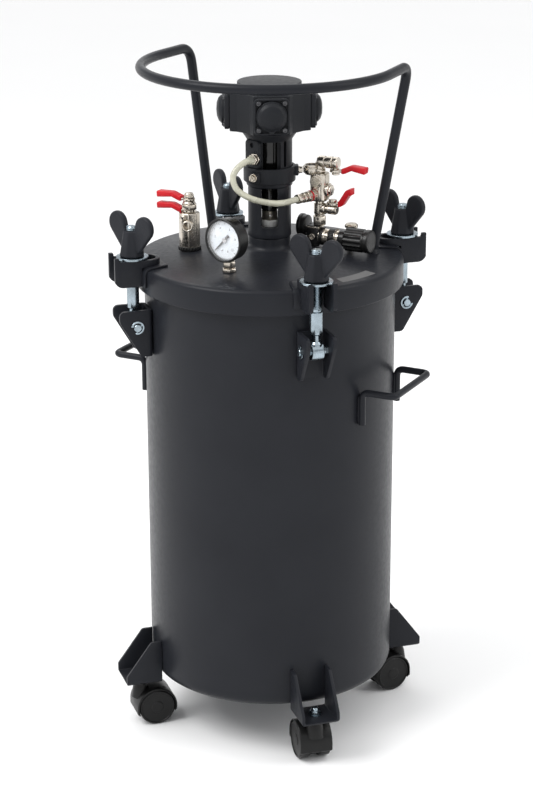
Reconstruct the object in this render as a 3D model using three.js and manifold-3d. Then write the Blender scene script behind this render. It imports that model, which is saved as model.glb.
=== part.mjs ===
// Resin pressure pot: a 40 litre pressure tank on four twin-wheel casters, with a clamped lid that
// carries an air motor, an agitator, a pressure gauge, an air manifold and a fluid outlet.
// Millimetres, +Z up. The origin is on the floor, on the tank's axis. The gauge faces -Y.
import * as THREE from 'three';
import { mergeVertices } from 'three/addons/utils/BufferGeometryUtils.js';
import Module from 'manifold-3d';

const wasm = await Module();
wasm.setup();

// ---------- driving dimensions ----------
const gap = 0.3;                    // between pieces that touch
const turnGap = 0.35;               // radial, between a piece and what it turns on

const tankRadius = 165;
const tankWall = 3;
const tankHeight = 565;             // underside to the top of the mouth ring
const tankCorner = 16;
const tankSides = 40;
const mouthRingHeight = 20;
const mouthRingWidth = 4.5;         // how far the mouth ring stands out of the wall

const gasketThickness = 5.4;
const gasketWidth = 9;

const lidThickness = 5;
const lidSkirtDepth = 32;           // rim top to skirt bottom
const lidSkirtClearance = 1;        // skirt to mouth ring
const lidEdgeRadius = 6;
const lidDomeRise = 10;             // rim top to the foot of the neck
const lidDomeRadius = 52;           // radius at the foot of the neck
const neckHeight = 28;              // above the rim top
const neckFlare = 14;
const glandBossRadius = 13;
const glandBossHeight = 12;

const shaftRadius = 7;
const shaftFloorClearance = 38;     // shaft end above the tank's underside
const propellerRadius = 50;
const propellerHubRadius = 12;
const propellerHubHeight = 24;
const propellerBlades = 3;
const bladeWidth = 26;
const bladeThickness = 3;
const bladePitch = 35;              // degrees

const packingRingRadius = 11.5;
const packingRingHeight = 9;
const glandNutFlats = 20;
const glandNutHeight = 12;

const columnRadius = 28;
const columnWall = 7;
const columnHeight = 80;
const columnFootHeight = 15;
const columnHeadLip = 2;            // how far the column's head stands out of its body
const columnHeadHeight = 13;
const windowWidth = 21;

const motorAzimuth = 30;            // front cylinder head, degrees from -Y towards +X
const motorNeckHeight = 46.5;
const motorNeckWall = 8;
const motorFunnelFlare = 7;
const motorFunnelHeight = 15;
const motorBodyRadius = 57;
const motorBodyHeight = 50;
const motorFlatDistance = 52;       // axis to the faces that the heads bolt to
const motorShaftDepth = 12;         // how far the shaft runs into the motor above its neck bore
const motorCapRadius = 41.5;
const motorCapHeight = 10.5;
const headWidth = 43;
const headHeight = 46;
const headFlange = 6;
const headBossRadius = 19;
const headBossHeight = 6;
const headDomeHeight = 4;
const collarHeight = 20;
const collarOverlap = 7;            // how far the collar reaches down over the column's head
const collarWall = 3.5;

const hoopBarRadius = 6.5;
const hoopInset = 11.2;             // lid's skirt to the hoop's centreline
const hoopHeight = 250;             // ring centreline above the lid's rim top
const hoopCornerAzimuth = 116.13;   // where a leg's line meets the ring's tangent
const hoopCornerOut = 1.6;          // lid's skirt to that corner
const hoopFootAzimuth = 118.27;
const hoopFootInset = 40.4;         // lid's skirt to a leg's foot
const hoopBend = 22;

const handleBarRadius = 4.5;
const handleHalfWidth = 55;         // axis to leg
const handleReach = 41;             // tank wall to the bar's centreline
const handleDrop = 138;             // mouth ring's top to the bar's centreline
const handleLegLength = 44;
const handleBend = 10;

const clampAzimuths = [-45, 45, 135, -135];
const clampWingAzimuths = [72, 78, 68, 55];
const clampReach = 10.5;            // lid's skirt to swing bolt axis
const boltThreadRadius = 7;
const boltShankRadius = 8;
const boltThreadLength = 81;
const boltShankLength = 40;
const boltEyeRadius = 11;
const boltEyeWidth = 16;
const clampPinRadius = 5;
const clampPinOverhang = 4;         // past each ear
const earPlate = 4.5;
const earGap = 30;
const earTopReach = 44;             // tank wall to an ear's outer corner
const earFootReach = 16;
const earHeight = 62;
const earCorner = 7;
const clampPinDrop = 22;            // ear top to pin
const earSkirtGap = 22;             // lid skirt's bottom to the ears' top

const lugPlate = 5;
const lugGap = 26;                  // between the lug's arms
const lugInset = 25.5;              // lid's skirt to the lug's closed end
const lugSeatHeight = 12;           // above the rim top
const lugArmHeight = 34;
const lugTipHeight = 5;
const lugTipWidth = 6;
const saddlePlate = 3;
const saddleHalfWidth = 26;
const saddleDrop = 22;              // down the skirt from the rim top
const washerRadius = 21;
const washerThickness = 3;

const nutBaseRadius = 15.5;
const nutTopRadius = 10;
const nutHeight = 36;
const wingThickness = 7.5;
const wingHeight = 55;              // above the nut's base
const wingRoot = 6;                 // nut axis to where a wing starts, inside the nut
const wingFoot = 3;                 // above the nut's base
const wingArc = [-35, 170];         // degrees round a wing's lobe
const wingHalfWidth = 15.5;
const wingCentre = 25;              // nut axis to the middle of a wing

const wheelRadius = 25;
const wheelWidth = 16;
const wheelPitchGap = 11.2;         // between the two wheels of one caster
const wheelSides = 24;
const axleRadius = 4;
const casterTrail = 18;             // swivel axis to axle
const casterTrailAzimuths = [135, -137, -33, 100];
const hoodWall = 2.2;
const hoodClearance = 0.8;
const hoodWidth = 44;
const hoodBottom = 8;               // above the floor
const hoodFrontDrop = 15;           // degrees that the hood's roof reaches below the axle, in front
const hoodTailDrop = 8;             // below the axle, behind
const hoodFootHalf = 14;
const hoodWebPlay = 0.6;            // each side, between the hood's web and a wheel
const casterNeckRoot = 12;          // axle to the neck's root
const swivelPlay = 0.7;             // above the neck and below the stem
const casterNeckRadius = 9;
const casterReach = 23;             // tank wall to the swivel axis
const casterTankGap = 20;           // wheels' top to the tank's underside
const stemRadius = 5;
const stemDepth = 14;
const stemStandOut = 11;
const bracketPlate = 4;
const bracketWidth = 52;
const bracketInset = 1.1;           // tank wall to a bracket's back edge, which meets the tank at its corners
const bracketReach = 49.1;
const bracketCorner = 3;
const bracketHeight = 61;
const bracketTopWidth = 13;
const bracketNoseHeight = 14;
const bracketDrop = 6;              // bracket's underside below the tank's underside

const outletPlace = [-97, -41];
const outletFlats = 26;
const outletHeight = 50;
const outletPortAzimuth = 20;
const outletPortHeight = 35;
const outletPortRadius = 7.5;
const outletPortBore = 5;
const outletPortDepth = 8;
const outletPortLength = 7;
const outletTopFlats = 19;
const outletTopHeight = 11;
const leverHubHeight = 3;
const leverThickness = 3;
const leverWidth = 9;
const leverHubRadius = 8;
const leverFlat = 12.5;              // hub axis to where a lever starts to rise
const leverSlope = 11;              // length of the rising stretch, in plan
const outletLeverReach = 46;
const outletLeverRise = 8;
const inletLeverReach = 44;
const inletLeverRise = 9;
const motorLeverReach = 28;
const motorLeverRise = 21;
const leverStemRadius = 4;
const leverPlay = 0.5;              // above and below a lever's hub
const pickupRadius = 8;
const pickupBore = 6;
const pickupFloorClearance = 12;

const regulatorPlace = [48, 38];
const regulatorAxisHeight = 24;     // above the rim top
const regulatorBlock = 18;
const regulatorBlockHeight = 26;
const regulatorFootRadius = 6;
const regulatorFootHeight = 3;
const bonnetRadius = 12;
const bonnetLength = 36;
const knobRadius = 16;
const knobLength = 36;
const knobFlutes = 12;
const fluteRadius = 2;
const smallGaugeRadius = 15;
const smallGaugeDepth = 12;
const smallGaugeStem = 4.5;
const smallGaugeRise = 6;           // regulator axis to the gauge's stub
const smallGaugeOffset = [8, 4];    // stub to the dial's centre, across and up
const reliefAzimuth = 127.2;
const reliefInset = 66.3;           // lid's skirt to the relief valve's axis
const reliefRadius = 6;
const reliefHeight = 28;
const reliefSeatHeight = 5;

const manifoldStemFlats = 16;
const manifoldStemHeight = 32;
const manifoldStemOffset = 6;       // regulator's centre to the stem, along +X
const manifoldBlock = [24, 24, 38];
const cupRadius = 12;
const cupHeight = 13;
const cupOffset = 12;
const cupDepth = 3;
const cupWall = 4;
const topValveRadius = 8;
const topValveLength = 30;
const topValveRise = 14;            // block top to the valve's axis
const topValveStem = 23;            // stem axis to the lever's axis
const riserRadius = 6;
const lowValveRadius = 6.5;
const lowValveReach = 26;
const lowValveRise = 22;            // regulator top to the valve's axis
const lowValveStem = 19;
const hoseFittingRadius = 7;

const gaugeInset = 64.5;            // lid's skirt to the gauge's stem
const gaugeStemAzimuth = -0.52;
const gaugeAzimuth = -10;
const gaugeRadius = 28.5;
const gaugeDepth = 22;
const gaugeDialRadius = 25;
const gaugeDialRecess = 6;
const gaugeStemRadius = 6;
const gaugeCentreHeight = 48;       // above the rim top
const gaugeForward = 3;             // case centre in front of its stem
const needleLength = 21;
const needleTail = 8;
const needleWidth = 1.8;
const needleThickness = 1;
const needleRest = 225;             // degrees, anticlockwise from 3 o'clock as the dial is read

const hoseRadius = 4;
const hosePortAzimuth = -6;
const hosePortHeight = 135;         // above the rim top
const hosePortRadius = 6.5;
const hosePortLength = 17;
const hoseSocketDepth = 5;
const hoseBends = [                 // x, distance in front of the motor's neck, height above the rim top
  [-9, 21, 133.5], [-16, 30, 126], [-19, 35.5, 114.5], [-12, 37, 100.5], [5, 32, 90],
  [23, 17, 83], [34, -2, 80],
];
const hoseEnd = [41, -3, 80];

// ---------- derived places ----------
const tankBottomHeight = 2 * wheelRadius + casterTankGap;
const mouthRingRadius = tankRadius + mouthRingWidth;
const mouthTop = tankBottomHeight + tankHeight;
const lidUnderside = mouthTop + gap + gasketThickness + gap;
const rimTop = lidUnderside + lidThickness;
const skirtInner = mouthRingRadius + lidSkirtClearance;
const skirtRadius = skirtInner + lidThickness;
const skirtBottom = rimTop - lidSkirtDepth;
const neckRadius = columnRadius - 1;
const columnBore = columnRadius - columnWall;
const columnHeadRadius = columnRadius + columnHeadLip;
const motorNeckRadius = columnHeadRadius;
const motorNeckBore = motorNeckRadius - motorNeckWall;
const motorFunnelRadius = motorNeckRadius + motorFunnelFlare;
const hoopRadius = skirtRadius - hoopInset;
const hoopCorner = polar(skirtRadius + hoopCornerOut, hoopCornerAzimuth);
const hoopFoot = polar(skirtRadius - hoopFootInset, hoopFootAzimuth);
const handleHeight = mouthTop - handleDrop;
const clampAxisRadius = skirtRadius + clampReach;
const lugInnerRadius = skirtRadius - lugInset;
const casterAxisRadius = tankRadius + casterReach;
const bracketBack = tankRadius - bracketInset;
const gaugePlace = polar(skirtRadius - gaugeInset, gaugeStemAzimuth);
const reliefPlace = polar(skirtRadius - reliefInset, reliefAzimuth);
const neckTop = rimTop + neckHeight;
const glandBossTop = neckTop + glandBossHeight;
const columnBottom = neckTop + gap;
const columnTop = columnBottom + columnHeight;
const motorBottom = columnTop + gap;
const motorBodyBottom = motorBottom + motorNeckHeight + motorFunnelHeight;
const motorBodyTop = motorBodyBottom + motorBodyHeight;
const headCentre = motorBodyBottom + motorBodyHeight / 2;
const motorNeckBoreTop = motorBottom + motorNeckHeight;
const shaftTop = motorNeckBoreTop + motorShaftDepth;
const shaftBottom = tankBottomHeight + shaftFloorClearance;
const seatTop = rimTop + lugSeatHeight;
const nutBottom = seatTop + gap + washerThickness + gap;
const earTop = skirtBottom - earSkirtGap;
const clampPinHeight = earTop - clampPinDrop;
const bracketBottom = tankBottomHeight - bracketDrop;
const reliefSeatTop = lidSurface(Math.hypot(...reliefPlace)) + reliefSeatHeight;
const regulatorAxis = rimTop + regulatorAxisHeight;

// ---------- helpers ----------
function rad(degrees) {
  return degrees * Math.PI / 180;
}

// a unit vector in plan, for an azimuth counted from -Y towards +X
function heading(azimuth) {
  return [Math.sin(rad(azimuth)), -Math.cos(rad(azimuth))];
}

function polar(radius, azimuth) {
  return heading(azimuth).map((part) => radius * part);
}

// the lowest place for a round foot that stands on the lid
function lidSeat([x, y], footRadius) {
  return lidSurface(Math.hypot(x, y) - footRadius) + gap;
}

// the lid's top surface at a distance from the axis, outside the neck's flare
function lidSurface(radius) {
  const run = skirtRadius - lidEdgeRadius - lidDomeRadius;
  return rimTop + lidDomeRise * (skirtRadius - lidEdgeRadius - radius) / run;
}

function solid(geometry) {
  const bare = geometry.index ? geometry.toNonIndexed() : geometry.clone();
  bare.deleteAttribute('normal');
  bare.deleteAttribute('uv');
  const merged = mergeVertices(bare, 1e-4);
  const points = merged.attributes.position.array;
  const corners = merged.index.array;
  const kept = [];
  let volume = 0;
  const at = (i) => new THREE.Vector3().fromArray(points, i * 3);
  for (let i = 0; i < corners.length; i += 3) {
    const [a, b, c] = corners.slice(i, i + 3);
    if (a === b || b === c || c === a) continue;
    kept.push(a, b, c);
    volume += at(a).dot(at(b).cross(at(c)));
  }
  if (volume < 0) kept.reverse();
  const mesh = new wasm.Mesh({
    numProp: 3, vertProperties: new Float32Array(points), triVerts: new Uint32Array(kept),
  });
  return new wasm.Manifold(mesh);
}

function geometryOf(body) {
  const mesh = body.getMesh();
  const geometry = new THREE.BufferGeometry();
  geometry.setAttribute('position', new THREE.BufferAttribute(mesh.vertProperties, 3));
  geometry.setIndex(new THREE.BufferAttribute(mesh.triVerts, 1));
  geometry.computeVertexNormals();
  return geometry;
}

const join = (...bodies) => bodies.reduce((all, body) => all.add(body));
const cut = (body, ...tools) => tools.reduce((left, tool) => left.subtract(tool), body);

function block(width, depth, height, x = 0, y = 0, z = 0) {
  return solid(new THREE.BoxGeometry(width, depth, height).translate(x, y, z + height / 2));
}

// a bar of n sides that stands on z; radius is to its flats when acrossFlats is set
function bar(radius, height, z = 0, sides = 24, acrossFlats = false, topRadius = radius) {
  const grow = acrossFlats ? 1 / Math.cos(Math.PI / sides) : 1;
  const geometry = new THREE.CylinderGeometry(topRadius * grow, radius * grow, height, sides);
  geometry.rotateX(Math.PI / 2);
  geometry.rotateZ(Math.PI / sides);
  return solid(geometry.translate(0, 0, z + height / 2));
}

// a closed outline of [radius, height] points turned about Z
function turned(outline, sides = 24) {
  const points = outline.map(([r, z]) => new THREE.Vector2(r, z));
  const onAxis = outline[0][0] === 0 && outline.at(-1)[0] === 0;
  if (!onAxis) points.push(points[0].clone());
  return solid(new THREE.LatheGeometry(points, sides).rotateX(Math.PI / 2));
}

// points of a quarter or other arc, angles in degrees
function arc(x, y, radius, from, to, steps = 4) {
  const points = [];
  for (let i = 0; i <= steps; i++) {
    const angle = rad(from + (to - from) * i / steps);
    points.push([x + radius * Math.cos(angle), y + radius * Math.sin(angle)]);
  }
  return points;
}

// a plate whose outline is in x and z, centred on y = 0
function plate(outline, thickness, holes = []) {
  const shape = new THREE.Shape(outline.map(([x, z]) => new THREE.Vector2(x, z)));
  for (const [x, z, radius] of holes) {
    shape.holes.push(new THREE.Path().absarc(x, z, radius, 0, 2 * Math.PI, true));
  }
  const options = { depth: thickness, bevelEnabled: false, curveSegments: 8 };
  const geometry = new THREE.ExtrudeGeometry(shape, options);
  geometry.rotateX(Math.PI / 2);
  return solid(geometry.translate(0, thickness / 2, 0));
}

// a round bar along a list of points
function rod(points, radius, steps, sides = 8) {
  const path = new THREE.CatmullRomCurve3(points.map((p) => new THREE.Vector3(...p)), false, 'centripetal');
  const section = new THREE.Shape();
  for (let i = 0; i <= sides; i++) {
    const angle = 2 * Math.PI * i / sides;
    const [x, y] = [radius * Math.cos(angle), radius * Math.sin(angle)];
    if (i === 0) section.moveTo(x, y);
    else section.lineTo(x, y);
  }
  return solid(new THREE.ExtrudeGeometry(section, { steps, bevelEnabled: false, extrudePath: path }));
}

// points that round a corner of a bent bar, from the incoming to the outgoing straight
function bend(before, corner, after, radius, steps = 4) {
  const c = new THREE.Vector3(...corner);
  const start = new THREE.Vector3(...before).sub(c).setLength(radius).add(c);
  const end = new THREE.Vector3(...after).sub(c).setLength(radius).add(c);
  return new THREE.QuadraticBezierCurve3(start, c, end).getPoints(steps).map((p) => p.toArray());
}

const alongX = (body) => body.rotate([0, 90, 0]);      // what stood on z now runs along +x
const alongY = (body) => body.rotate([90, 0, 0]);      // what stood on z now runs along -y

const finishes = {
  blackPaint: { color: 0x2b2d31, roughness: 0.5, metalness: 0.3 },
  castBlack: { color: 0x26282b, roughness: 0.6, metalness: 0.3 },
  zinc: { color: 0xb9c3c9, roughness: 0.3, metalness: 1 },
  nickel: { color: 0xb5ab9c, roughness: 0.25, metalness: 1 },
  steel: { color: 0x9a9c9e, roughness: 0.3, metalness: 1 },
  rubber: { color: 0x1c1c1d, roughness: 0.8, metalness: 0 },
  plastic: { color: 0x19191a, roughness: 0.45, metalness: 0 },
  whitePlastic: { color: 0xf0f0ee, roughness: 0.5, metalness: 0 },
  redGrip: { color: 0xc8102e, roughness: 0.4, metalness: 0 },
  hose: { color: 0xd9d6bd, roughness: 0.4, metalness: 0 },
};

const group = new THREE.Group();

function addPart(name, body, finish, parent = group) {
  const mesh = new THREE.Mesh(geometryOf(body), new THREE.MeshStandardMaterial(finishes[finish]));
  mesh.name = name;
  parent.add(mesh);
  return mesh;
}

// a frame on the tank's axis whose +x looks outwards along an azimuth
function radialFrame(azimuth) {
  const frame = new THREE.Group();
  frame.rotation.z = rad(azimuth - 90);
  group.add(frame);
  return frame;
}

// ---------- tank ----------
function tankShell() {
  const innerRadius = tankRadius - tankWall;
  const innerCorner = tankCorner - tankWall;
  const floor = tankBottomHeight;
  return turned([
    [0, floor],
    ...arc(tankRadius - tankCorner, floor + tankCorner, tankCorner, -90, 0),
    [tankRadius, mouthTop - mouthRingHeight],
    [mouthRingRadius, mouthTop - mouthRingHeight],
    [mouthRingRadius, mouthTop],
    [innerRadius, mouthTop],
    ...arc(innerRadius - innerCorner, floor + tankCorner, innerCorner, 0, -90),
    [0, floor + tankWall],
  ], tankSides);
}

function sideHandle(side) {
  const legX = Math.sqrt((tankRadius + gap + handleBarRadius) ** 2 - handleHalfWidth ** 2);
  const barX = tankRadius + handleReach;
  const place = (x, y, z) => [side * x, y, z];
  const half = (sign) => {
    const foot = place(legX, sign * handleHalfWidth, handleHeight - handleLegLength);
    const elbow = place(legX, sign * handleHalfWidth, handleHeight);
    const corner = place(barX, sign * handleHalfWidth, handleHeight);
    const middle = place(barX, 0, handleHeight);
    return [foot, ...bend(foot, elbow, corner, handleBend), ...bend(elbow, corner, middle, handleBend)];
  };
  return rod([...half(-1), ...half(1).reverse()], handleBarRadius, 30);
}

// ---------- clamps, in a radial frame ----------
function clampBracket() {
  const back = tankRadius + gap;
  const outer = tankRadius + earTopReach;
  const foot = tankRadius + earFootReach;
  const bottom = earTop - earHeight;
  const width = earGap + 2 * earPlate;
  const body = plate([
    [back, bottom],
    [foot - earCorner, bottom],
    [foot, bottom + earCorner * 0.6],
    [outer, earTop - earCorner * 1.6],
    ...arc(outer - earCorner, earTop - earCorner, earCorner, 0, 90, 3),
    [back, earTop],
  ], width, [[clampAxisRadius, clampPinHeight, clampPinRadius + turnGap]]);
  return cut(body, block(earTopReach + 10, earGap, earHeight + 10,
    back + earPlate + (earTopReach + 10) / 2, 0, bottom - 5));
}

function swingBolt() {
  const shankTop = clampPinHeight + boltEyeRadius + boltShankLength;
  const pinLength = earGap + 2 * (earPlate + clampPinOverhang);
  const eye = alongY(bar(boltEyeRadius, boltEyeWidth, -boltEyeWidth / 2, 12));
  const pin = alongY(bar(clampPinRadius, pinLength, -pinLength / 2, 12));
  return join(
    join(eye, pin).translate([clampAxisRadius, 0, clampPinHeight]),
    bar(boltShankRadius, shankTop - clampPinHeight, clampPinHeight, 12).translate([clampAxisRadius, 0, 0]),
    bar(boltThreadRadius, boltThreadLength, shankTop - 1, 12).translate([clampAxisRadius, 0, 0]),
  );
}

// a strip bent to a U that is open outwards, on a saddle over the lid's rim
function lidLug() {
  const outerHalf = lugGap / 2 + lugPlate;
  const turnCentre = lugInnerRadius + outerHalf;
  const tipInner = clampAxisRadius + washerRadius + gap;
  const armEnd = tipInner + lugTipWidth;
  const clearOfSkirt = skirtRadius + gap + saddlePlate;
  const armBottom = seatTop - lugArmHeight;
  const overLid = rimTop + gap + saddlePlate;
  const armOutline = [
    [turnCentre, overLid - 1],
    [clearOfSkirt - 1, overLid - 1],
    [clearOfSkirt - 1, armBottom],
    [armEnd, armBottom],
    [armEnd, seatTop + lugTipHeight],
    [tipInner, seatTop + lugTipHeight],
    [tipInner, seatTop],
    [turnCentre, seatTop],
  ];
  const arms = [-1, 1].map((side) => (
    plate(armOutline, lugPlate).translate([0, side * (lugGap + lugPlate) / 2, 0])
  ));
  const bendHeight = seatTop - overLid + 1;
  const ring = cut(
    bar(outerHalf, bendHeight, overLid - 1, 24),
    bar(lugGap / 2, bendHeight + 2, overLid - 2, 24),
  );
  const halfRing = ring.intersect(block(outerHalf + 1, 3 * outerHalf, bendHeight + 4,
    -(outerHalf + 1) / 2 + 0.5, 0, overLid - 3));
  const inner = skirtRadius + gap;
  const edge = [skirtRadius - lidEdgeRadius, rimTop - lidEdgeRadius];
  const saddleRing = turned([
    [inner, rimTop - saddleDrop],
    [inner + saddlePlate, rimTop - saddleDrop],
    ...arc(...edge, lidEdgeRadius + gap + saddlePlate, 0, 90, 3),
    [lugInnerRadius - 4, overLid + lidSurface(lugInnerRadius - 4) - rimTop],
    [lugInnerRadius - 4, overLid - saddlePlate + lidSurface(lugInnerRadius - 4) - rimTop],
    ...arc(...edge, lidEdgeRadius + gap, 90, 0, 3),
  ], tankSides);
  const saddleSlice = block(lugGap * 3, 2 * saddleHalfWidth, lugArmHeight * 4, skirtRadius - lugGap, 0,
    rimTop - lugArmHeight * 2);
  const saddle = saddleRing.intersect(saddleSlice);
  return join(saddle, arms[0], arms[1], halfRing.translate([turnCentre, 0, 0]));
}

function wingNut() {
  const body = bar(nutBaseRadius, nutHeight, 0, 12, false, nutTopRadius);
  const lobeHeight = wingHeight - wingHalfWidth;
  const wing = (side) => {
    const [from, to] = side > 0 ? wingArc : wingArc.map((angle) => 180 - angle);
    const lobe = arc(side * wingCentre, lobeHeight, wingHalfWidth, from, to, 10);
    return plate([
      [side * wingRoot, wingFoot],
      [side * nutBaseRadius, 2 * wingFoot],
      ...lobe,
      [side * wingRoot, nutHeight / 2],
    ], wingThickness);
  };
  const bore = bar(boltThreadRadius + turnGap, nutHeight + 2, -1, 12, true);
  return cut(join(body, wing(1), wing(-1)), bore);
}

// ---------- casters ----------
function casterBracket() {
  const inner = bracketWidth / 2 - bracketPlate;
  const nose = bracketBack + bracketReach;
  const top = bracketBottom + bracketHeight;
  const body = plate([
    [bracketBack, bracketBottom],
    [nose - bracketCorner, bracketBottom],
    [nose, bracketBottom + bracketCorner],
    [nose, bracketBottom + bracketNoseHeight],
    [bracketBack + bracketTopWidth, top - bracketCorner],
    [bracketBack + bracketTopWidth - bracketCorner, top],
    [bracketBack, top],
  ], bracketWidth);
  const channel = block(3 * bracketReach, 2 * inner, 2 * bracketHeight, bracketBack, 0,
    bracketBottom + bracketPlate);
  const stemHeight = stemDepth + bracketPlate + stemStandOut;
  const stem = bar(stemRadius, stemHeight, bracketBottom - stemDepth, 12).translate([casterAxisRadius, 0, 0]);
  return join(cut(body, channel), stem);
}

// local frame of a caster: swivel axis on z, +x along the trail, floor at z = 0
function casterHood() {
  const outer = wheelRadius + hoodClearance + hoodWall;
  const web = wheelPitchGap - 2 * hoodWebPlay;
  const lower = hoodBottom - wheelRadius;
  const outline = [
    ...arc(0, 0, outer, -hoodFrontDrop, 180, 12),
    [-outer, -hoodTailDrop],
    [-hoodFootHalf, lower],
    [hoodFootHalf, lower],
  ].map(([x, z]) => [x + casterTrail, z + wheelRadius]);
  const sideWell = (side) => alongY(bar(wheelRadius + hoodClearance, hoodWidth, 0, wheelSides, true))
    .translate([casterTrail, side > 0 ? web / 2 + hoodWidth : -web / 2, wheelRadius]);
  const neckBottom = wheelRadius + casterNeckRoot;
  const neck = bar(casterNeckRadius, bracketBottom - swivelPlay - neckBottom, neckBottom, 16);
  const wells = [-1, 1].map(sideWell);
  const axleHole = alongY(bar(axleRadius + turnGap, web + 4, -web / 2 - 2, 16))
    .translate([casterTrail, 0, wheelRadius]);
  const holeBottom = bracketBottom - stemDepth - swivelPlay;
  const stemHole = bar(stemRadius + turnGap, bracketBottom - holeBottom, holeBottom, 12);
  return cut(join(plate(outline, hoodWidth), neck), ...wells, axleHole, stemHole);
}

function casterWheels() {
  const inner = wheelPitchGap / 2;
  const outer = inner + wheelWidth;
  const axle = alongY(bar(axleRadius, 2 * inner + 2, -inner - 1, 16));
  const wheel = (side) => alongY(bar(wheelRadius, wheelWidth, -wheelWidth / 2, wheelSides, true))
    .translate([0, side * (inner + outer) / 2, 0]);
  return join(axle, wheel(-1), wheel(1)).translate([casterTrail, 0, wheelRadius]);
}

// ---------- lid ----------
function lidBody() {
  const edge = skirtRadius - lidEdgeRadius;
  const domeTop = rimTop + lidDomeRise;
  const bore = shaftRadius + turnGap;
  const body = turned([
    [skirtInner, skirtBottom],
    [skirtRadius, skirtBottom],
    ...arc(edge, rimTop - lidEdgeRadius, lidEdgeRadius, 0, 90, 3),
    [lidDomeRadius, domeTop],
    [neckRadius + neckFlare * 0.45, domeTop + neckFlare * 0.3],
    [neckRadius, domeTop + neckFlare],
    [neckRadius, neckTop],
    [glandBossRadius, neckTop],
    [glandBossRadius, glandBossTop],
    [bore, glandBossTop],
    [bore, domeTop - lidThickness - 10],
    [glandBossRadius + 5, domeTop - lidThickness - 10],
    [lidDomeRadius - 12, domeTop - lidThickness],
    [skirtInner, lidUnderside],
  ], tankSides);
  const [x, y] = reliefPlace;
  const seat = bar(reliefRadius - 0.5, reliefSeatHeight + 3, reliefSeatTop - reliefSeatHeight - 3, 12);
  return join(body, seat.translate([x, y, 0]));
}

function lidGasket() {
  const bottom = mouthTop + gap;
  const outer = mouthRingRadius - 0.5;
  return turned([
    [outer - gasketWidth, bottom], [outer, bottom],
    [outer, bottom + gasketThickness], [outer - gasketWidth, bottom + gasketThickness],
  ], tankSides);
}

function liftHoop() {
  const ringHeight = rimTop + hoopHeight;
  const [cornerX, cornerY] = hoopCorner;
  const [footX, footY] = hoopFoot;
  const cornerRadius = Math.hypot(cornerX, cornerY);
  const cornerAngle = 180 - Math.atan2(cornerX, cornerY) * 180 / Math.PI;
  const ringEnd = cornerAngle - Math.acos(hoopRadius / cornerRadius) * 180 / Math.PI;
  const footHeight = lidSurface(Math.hypot(footX, footY)) + hoopBarRadius * 0.25;
  const onRing = (azimuth) => [...heading(azimuth).map((part) => hoopRadius * part), ringHeight];
  const leg = (side) => {
    const foot = [side * footX, footY, footHeight];
    const corner = [side * cornerX, cornerY, ringHeight];
    return [foot, ...bend(foot, corner, onRing(side * ringEnd), hoopBend, 6)];
  };
  const ring = [];
  const ringPoints = 24;
  for (let i = 1; i < ringPoints; i++) ring.push(onRing(ringEnd * (2 * i / ringPoints - 1)));
  return rod([...leg(-1), ...ring, ...leg(1).reverse()], hoopBarRadius, 56);
}

// ---------- agitator ----------
function agitatorShaft() {
  return bar(shaftRadius, shaftTop - gap - shaftBottom, shaftBottom, 16);
}

function propeller() {
  const hubBottom = shaftBottom + 4;
  const hub = bar(propellerHubRadius, propellerHubHeight, hubBottom, 16);
  const blades = [];
  for (let i = 0; i < propellerBlades; i++) {
    const blade = block(propellerRadius - shaftRadius - 2, bladeThickness, bladeWidth,
      (propellerRadius + shaftRadius + 2) / 2, 0, -bladeWidth / 2).rotate([bladePitch + 90, 0, 0]);
    const turnedBlade = blade.rotate([0, 0, 360 * i / propellerBlades]);
    blades.push(turnedBlade.translate([0, 0, hubBottom + propellerHubHeight / 2]));
  }
  const bore = bar(shaftRadius + gap, propellerHubHeight + 20, hubBottom - 10, 16);
  return cut(join(hub, ...blades), bore);
}

function packingRing() {
  const bottom = glandBossTop + gap;
  return cut(bar(packingRingRadius, packingRingHeight, bottom, 24),
    bar(shaftRadius + turnGap, packingRingHeight + 2, bottom - 1, 16));
}

function glandNut() {
  const bottom = glandBossTop + 2 * gap + packingRingHeight;
  return cut(bar(glandNutFlats / 2, glandNutHeight, bottom, 6, true),
    bar(shaftRadius + turnGap, glandNutHeight + 2, bottom - 1, 16));
}

function bearingColumn() {
  const headBottom = columnTop - columnHeadHeight;
  const body = turned([
    [glandBossRadius + 2, columnBottom],
    [columnRadius, columnBottom],
    [columnRadius, headBottom],
    [columnHeadRadius, headBottom],
    [columnHeadRadius, columnTop],
    [columnBore, columnTop],
    [columnBore, columnBottom + columnFootHeight - 4],
    [glandBossRadius + 2, columnBottom + columnFootHeight - 4],
  ], 32);
  const windowBottom = columnBottom + columnFootHeight;
  const window = block(windowWidth, 3 * columnRadius, headBottom - windowBottom, 0, 0, windowBottom);
  return cut(body, window.rotate([0, 0, motorAzimuth - 3]));
}

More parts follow.
